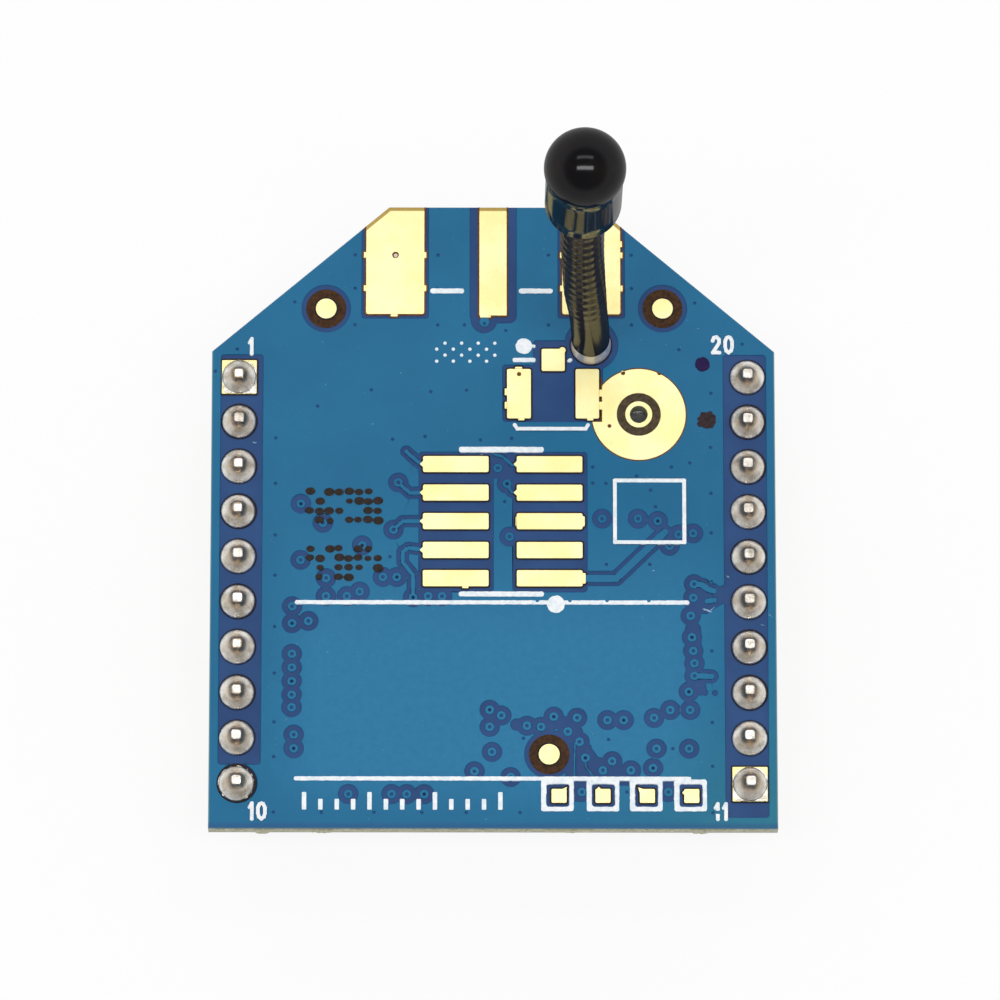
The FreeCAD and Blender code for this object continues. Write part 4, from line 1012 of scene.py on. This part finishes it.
def makeJoints(name, side, node):
    p = jointForm
    form = bmesh.new()
    draw = random.Random(5 + side)
    edge = []
    middle = side * rowX
    for number, y in enumerate(pinY):
        grow = draw.uniform(0.975, 1.015)
        high = draw.uniform(0.94, 1.04)
        profile = [(radius * (grow if height < p["foot"] else 1.0), height * high, *square)
                   for radius, height, *square in p["profile"]]
        lathe(form, middle, y, topLevel, profile, 44, p["wobble"], number + 3,
              (draw.uniform(-0.03, 0.03), draw.uniform(-0.03, 0.03)))
        if y == -9.0 * side:
            spread = roughOf([(middle + dx, y + dy) for dx, dy in p["spread"]], 0.02, seed=side + 7)
            layers = laid([spread]) + taken([ringOf(middle, y, p["seat"], 40)])
            sheetFrom(name + "Spread", layers, p["spreadRise"], "tinSolder", 0.03)
            continue
        # the painted shadow ring round this joint
        x, up = p["jointShadowShift"]
        reach = p["outline"]
        seat = taken([ringOf(middle, y, p["seat"], 32)])
        if number == 9:
            reach += p["spillShadowGrow"]
            layers = laid([roughOf(ringOf(middle, y, p["spill"], 34), 0.035)]) + seat
            sheetFrom(name + "Spill", layers, p["spillRise"], "tinSolder", 0.03)
        edge += laid([ringOf(middle + x, y + up, reach, 40)]) + seat
    roundPiece(name, form, "tinSolder", 32, (node,))
    sheetFrom(name + "Edge", edge, p["jointShadowRise"], "paintedShadow", soft=0.02)


pinForm = {
    "half": 0.25, "tipHalf": 0.158, "tipHeight": 0.79, "tipEase": (0.02, 0.03),
    "narrowFrom": 0.3, "footHalf": 0.14, "footTaper": 0.45, "footEase": (0.03, 0.04),
    "square": 9.0,
}


def makePins(name, side, node):
    p = pinForm
    above = topLevel - pinLow.z / mm
    profile = [(p["footHalf"], 0.0), (p["footHalf"] + p["footEase"][0], p["footEase"][1]),
               (p["half"], p["footTaper"]), (p["half"], above * 0.5),
               (p["half"], above + p["narrowFrom"]),
               (p["tipHalf"] + p["tipEase"][0], above + p["tipHeight"] - p["tipEase"][1]),
               (p["tipHalf"], above + p["tipHeight"])]
    form = bmesh.new()
    for y in pinY:
        lathe(form, side * rowX, y, pinLow.z / mm,
              [(radius, height, p["square"]) for radius, height in profile], 24)
    roundPiece(name, form, "pinFinish", 30, (node,))


print("pins")
makePins("leftPins", -1, "left_pins")
makePins("rightPins", 1, "right_pins")

print("solder joints")
makeJoints("leftJoints", -1, "left_solder")
makeJoints("rightJoints", 1, "right_solder")


# whip antenna

whip = {
    "y": 10.45, "solderX": 4.24, "capX": 3.55,
    # height and place of the sleeve's middle, which leans a little
    "drift": [(0.0, 4.22), (2.0, 4.19), (4.9, 4.06), (9.0, 3.83), (15.0, 3.64), (22.3, 3.55),
              (24.2, 3.55)],
    "easing": (-1.2, -0.6, 0.0, 0.6, 1.2),  # heights averaged to round it
    "startHeight": 1.0, "endHeight": 24.0, "step": 0.09, "footRadii": (0.72, 0.8),
    "footHeights": (0.06, 0.2), "plainRadius": 0.83, "ribRadius": 0.89, "ribStart": 5.6,
    "ribFade": 3.0, "ribPitch": 1.0, "ribRise": 0.011,
    "capRadius": 1.57, "ballRadius": 1.66, "rim": 22.3, "ballHeight": 27.3, "ballRings": 26,
    "solder": [(0.85, 0.0), (0.87, 0.04), (0.86, 0.12), (0.82, 0.22), (0.77, 0.34), (0.72, 0.48),
               (0.67, 0.64), (0.63, 0.82), (0.61, 1.0), (0.60, 1.1)],
    "solderShadow": (0.93, 0.8), "solderShadowRise": 0.045,
}


def driftAt(height):
    for (h0, x0), (h1, x1) in zip(whip["drift"], whip["drift"][1:]):
        if height <= h1:
            return x0 + (x1 - x0) * (height - h0) / (h1 - h0)
    return x1


def makeWhipSleeve():
    p = whip
    height, plain = p["startHeight"], p["plainRadius"]
    ease, whole = p["footHeights"]
    stations = [(height, p["footRadii"][0]), (height + ease, p["footRadii"][1]),
                (height + whole, plain)]
    while height < p["endHeight"]:
        height += p["step"]
        radius = plain
        if height > p["ribStart"]:
            share = min(1.0, (height - p["ribStart"]) / p["ribFade"])
            wave = math.sin(2 * math.pi * (height - p["ribStart"]) / p["ribPitch"])
            radius += (p["ribRadius"] - radius) * share + p["ribRise"] * share * wave
        if height > p["startHeight"] + whole:
            stations.append((height, radius))
    form = bmesh.new()
    rings = []
    for height, radius in stations:
        x = sum(driftAt(max(0.0, height + step)) for step in p["easing"]) / len(p["easing"])
        spots = ringOf(x, p["y"], radius, 48)
        rings.append([form.verts.new(at(*spot, topLevel + height)) for spot in spots])
    bridge(form, rings)
    roundPiece("whipSleeve", form, "whipGloss", 60, ("whip_sleeve",))


def makeWhipCap():
    p = whip
    radius, ball, rim, middle = p["capRadius"], p["ballRadius"], p["rim"], p["ballHeight"]
    profile = [(0.93, rim + 0.5), (0.93, rim + 0.1), (0.98, rim + 0.02), (1.1, rim),
               (radius - 0.16, rim), (radius - 0.05, rim + 0.05), (radius, rim + 0.16)]
    meet = middle - math.sqrt(ball ** 2 - radius ** 2)
    profile += [(radius, rim + (meet - rim) * share) for share in (0.3, 0.6, 0.85)]
    start = math.asin((meet - middle) / ball)
    for step in range(p["ballRings"]):
        turn = start + (math.pi / 2 - start) * step / p["ballRings"]
        profile.append((ball * math.cos(turn), middle + ball * math.sin(turn)))
    profile.append((0.03, middle + ball))
    form = bmesh.new()
    lathe(form, p["capX"], p["y"], topLevel, profile, 72)
    roundPiece("whipCap", form, "capGloss", 50, ("whip_cap",))


def makeWhipSolder():
    form = bmesh.new()
    foot = (whip["solderX"], whip["y"])
    lathe(form, *foot, topLevel, whip["solder"], 48, 0.008, 9)
    roundPiece("whipSolder", form, "brightTin", 70, ("whip_solder",))
    # a painted shadow ring round the whip's solder
    outer, inner = whip["solderShadow"]
    edge = laid([ringOf(*foot, outer, 40)]) + taken([ringOf(*foot, inner, 40)])
    sheetFrom("whipSolderShadowLine", edge, whip["solderShadowRise"], "paintedShadow", soft=0.02)


print("whip")
makeWhipSleeve()
makeWhipCap()
makeWhipSolder()


# finishes of the pieces that keep their form

keptFinishes = {
    "laminateAndMask": ("circuit_board",), "tealMask": ("back_foil",),
    "goldPlate": ("back_edge_lands",), "headerBlack": ("left_header", "right_header"),
    "legTin": ("whip_wire", "regulator_legs"), "canMetal": ("shield_can",),
    "chipBlack": ("radio_chip", "regulator"), "crystalMetal": ("clock_crystal",),
    "ceramicTan": ("balun", "band_filter", "supply_capacitor", "capacitors"),
    "resistorBlack": ("resistors",), "coilBlue": ("coils",),
}
print("finishes of the kept pieces")
for look, nodes in keptFinishes.items():
    for node in nodes:
        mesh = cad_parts[node].data
        mesh.materials.clear()
        mesh.materials.append(finish[look])


# floor, light and camera

studio = {
    "floorPale": (252, 252, 252), "floorDark": (247, 247, 247), "floorGrain": 1 / 0.9,
    "floorHalf": 1.5, "floorLevel": -0.00001,  # in metres, just under the pin tips
    "backdropShare": 0.86,
    "horizon": 1.0, "overhead": 0.34,  # strength of the surroundings, low down and high up
    "fadeLow": 0.28, "fadeHigh": 0.64,  # height of that change, as the sine of its angle
    "darkLean": -18,  # tilt of the darker part overhead, in degrees towards the nose
    "lamps": (  # tilt towards the nose in degrees, watts, width and depth in metres
        (-13, 0.92, 0.36, 0.07),
        (16, 0.22, 0.34, 0.06),
    ),
    "lampDistance": 0.45,
}


def paleFloor():
    made = Finish("paleFloor", rough=0.9, level=0.1)
    grain = made.noise(studio["floorGrain"], 2.0, 0.5)
    made.colour(made.mix(grain, studio["floorDark"], studio["floorPale"]))
    # a plain backdrop for the eye and for mirrors, an ordinary floor for the light
    rays = made.add("ShaderNodeLightPath").outputs
    seen = made.sums("MAXIMUM", rays["Is Camera Ray"], rays["Is Glossy Ray"])
    seen = made.sums("MAXIMUM", seen, rays["Is Transmission Ray"])
    share = made.sums("MULTIPLY", seen, studio["backdropShare"])
    glow = made.add("ShaderNodeEmission").outputs["Emission"]
    blend = made.add("ShaderNodeMixShader", {0: share, 1: made.shader.outputs["BSDF"], 2: glow})
    made.tree.links.new(blend.outputs[0], made.output.inputs["Surface"])


def makeFloor():
    half, level = studio["floorHalf"], studio["floorLevel"]
    mesh = bpy.data.meshes.new("floor")
    mesh.from_pydata([(-half, -half, level), (half, -half, level), (half, half, level),
                      (-half, half, level)], [], [(0, 1, 2, 3)])
    paleFloor()
    mesh.materials.append(finish["paleFloor"])
    floor = bpy.data.objects.new("floor", mesh)
    bpy.context.scene.collection.objects.link(floor)


def makeSurroundings():
    world = bpy.data.worlds.new("studio")
    bpy.context.scene.world = world
    world.use_nodes = True
    tree = world.node_tree
    lean = math.radians(studio["darkLean"])
    place = addNode(tree, "ShaderNodeTexCoord").outputs["Generated"]
    upright = (0, math.sin(lean), math.cos(lean))
    height = addNode(tree, "ShaderNodeVectorMath", {0: place, 1: upright}, operation="DOT_PRODUCT")
    feeds = {"Value": height.outputs["Value"],
             "From Min": studio["fadeLow"], "From Max": studio["fadeHigh"],
             "To Min": studio["horizon"], "To Max": studio["overhead"]}
    fade = addNode(tree, "ShaderNodeMapRange", feeds, interpolation_type="SMOOTHSTEP")
    soft = tree.nodes["Background"]
    soft.inputs["Color"].default_value = (1, 1, 1, 1)
    tree.links.new(fade.outputs["Result"], soft.inputs["Strength"])


def makeLamps():
    target = at(0, 3, 10)
    for number, (tilt, watts, width, depth) in enumerate(studio["lamps"]):
        lamp = bpy.data.lights.new(f"softLamp{number}", "AREA")
        lamp.shape = "RECTANGLE"
        lamp.size, lamp.size_y = width, depth
        lamp.energy = watts
        holder = bpy.data.objects.new(f"softLamp{number}", lamp)
        bpy.context.scene.collection.objects.link(holder)
        back = Vector((0, math.sin(math.radians(tilt)), math.cos(math.radians(tilt))))
        holder.location = target + back * studio["lampDistance"]
        holder.rotation_mode = "QUATERNION"
        holder.rotation_quaternion = (-back).to_track_quat("-Z", "Y")


cameraView = {
    "tilt": 14.0135, "roll": -1.3954, "turn": 1.3570,  # degrees
    "place": (-1.740, -85.181, 351.412),  # millimetres
    "lens": 295.72,
}


def makeCamera():
    view = cameraView
    turned = Matrix.Translation(Vector(view["place"]) * mm)
    for letter, angle in (("Z", -view["turn"]), ("X", view["tilt"]), ("Z", -view["roll"])):
        turned = turned @ Matrix.Rotation(math.radians(angle), 4, letter)
    data = bpy.data.cameras.new("camera")
    data.sensor_width = 36
    data.lens = view["lens"]
    data.clip_start, data.clip_end = 0.01, 10
    camera = bpy.data.objects.new("camera", data)
    bpy.context.scene.collection.objects.link(camera)
    camera.matrix_world = turned
    bpy.context.scene.camera = camera


print("floor, light and camera")
makeFloor()
makeSurroundings()
makeLamps()
makeCamera()
bpy.context.scene.view_settings.view_transform = "Standard"
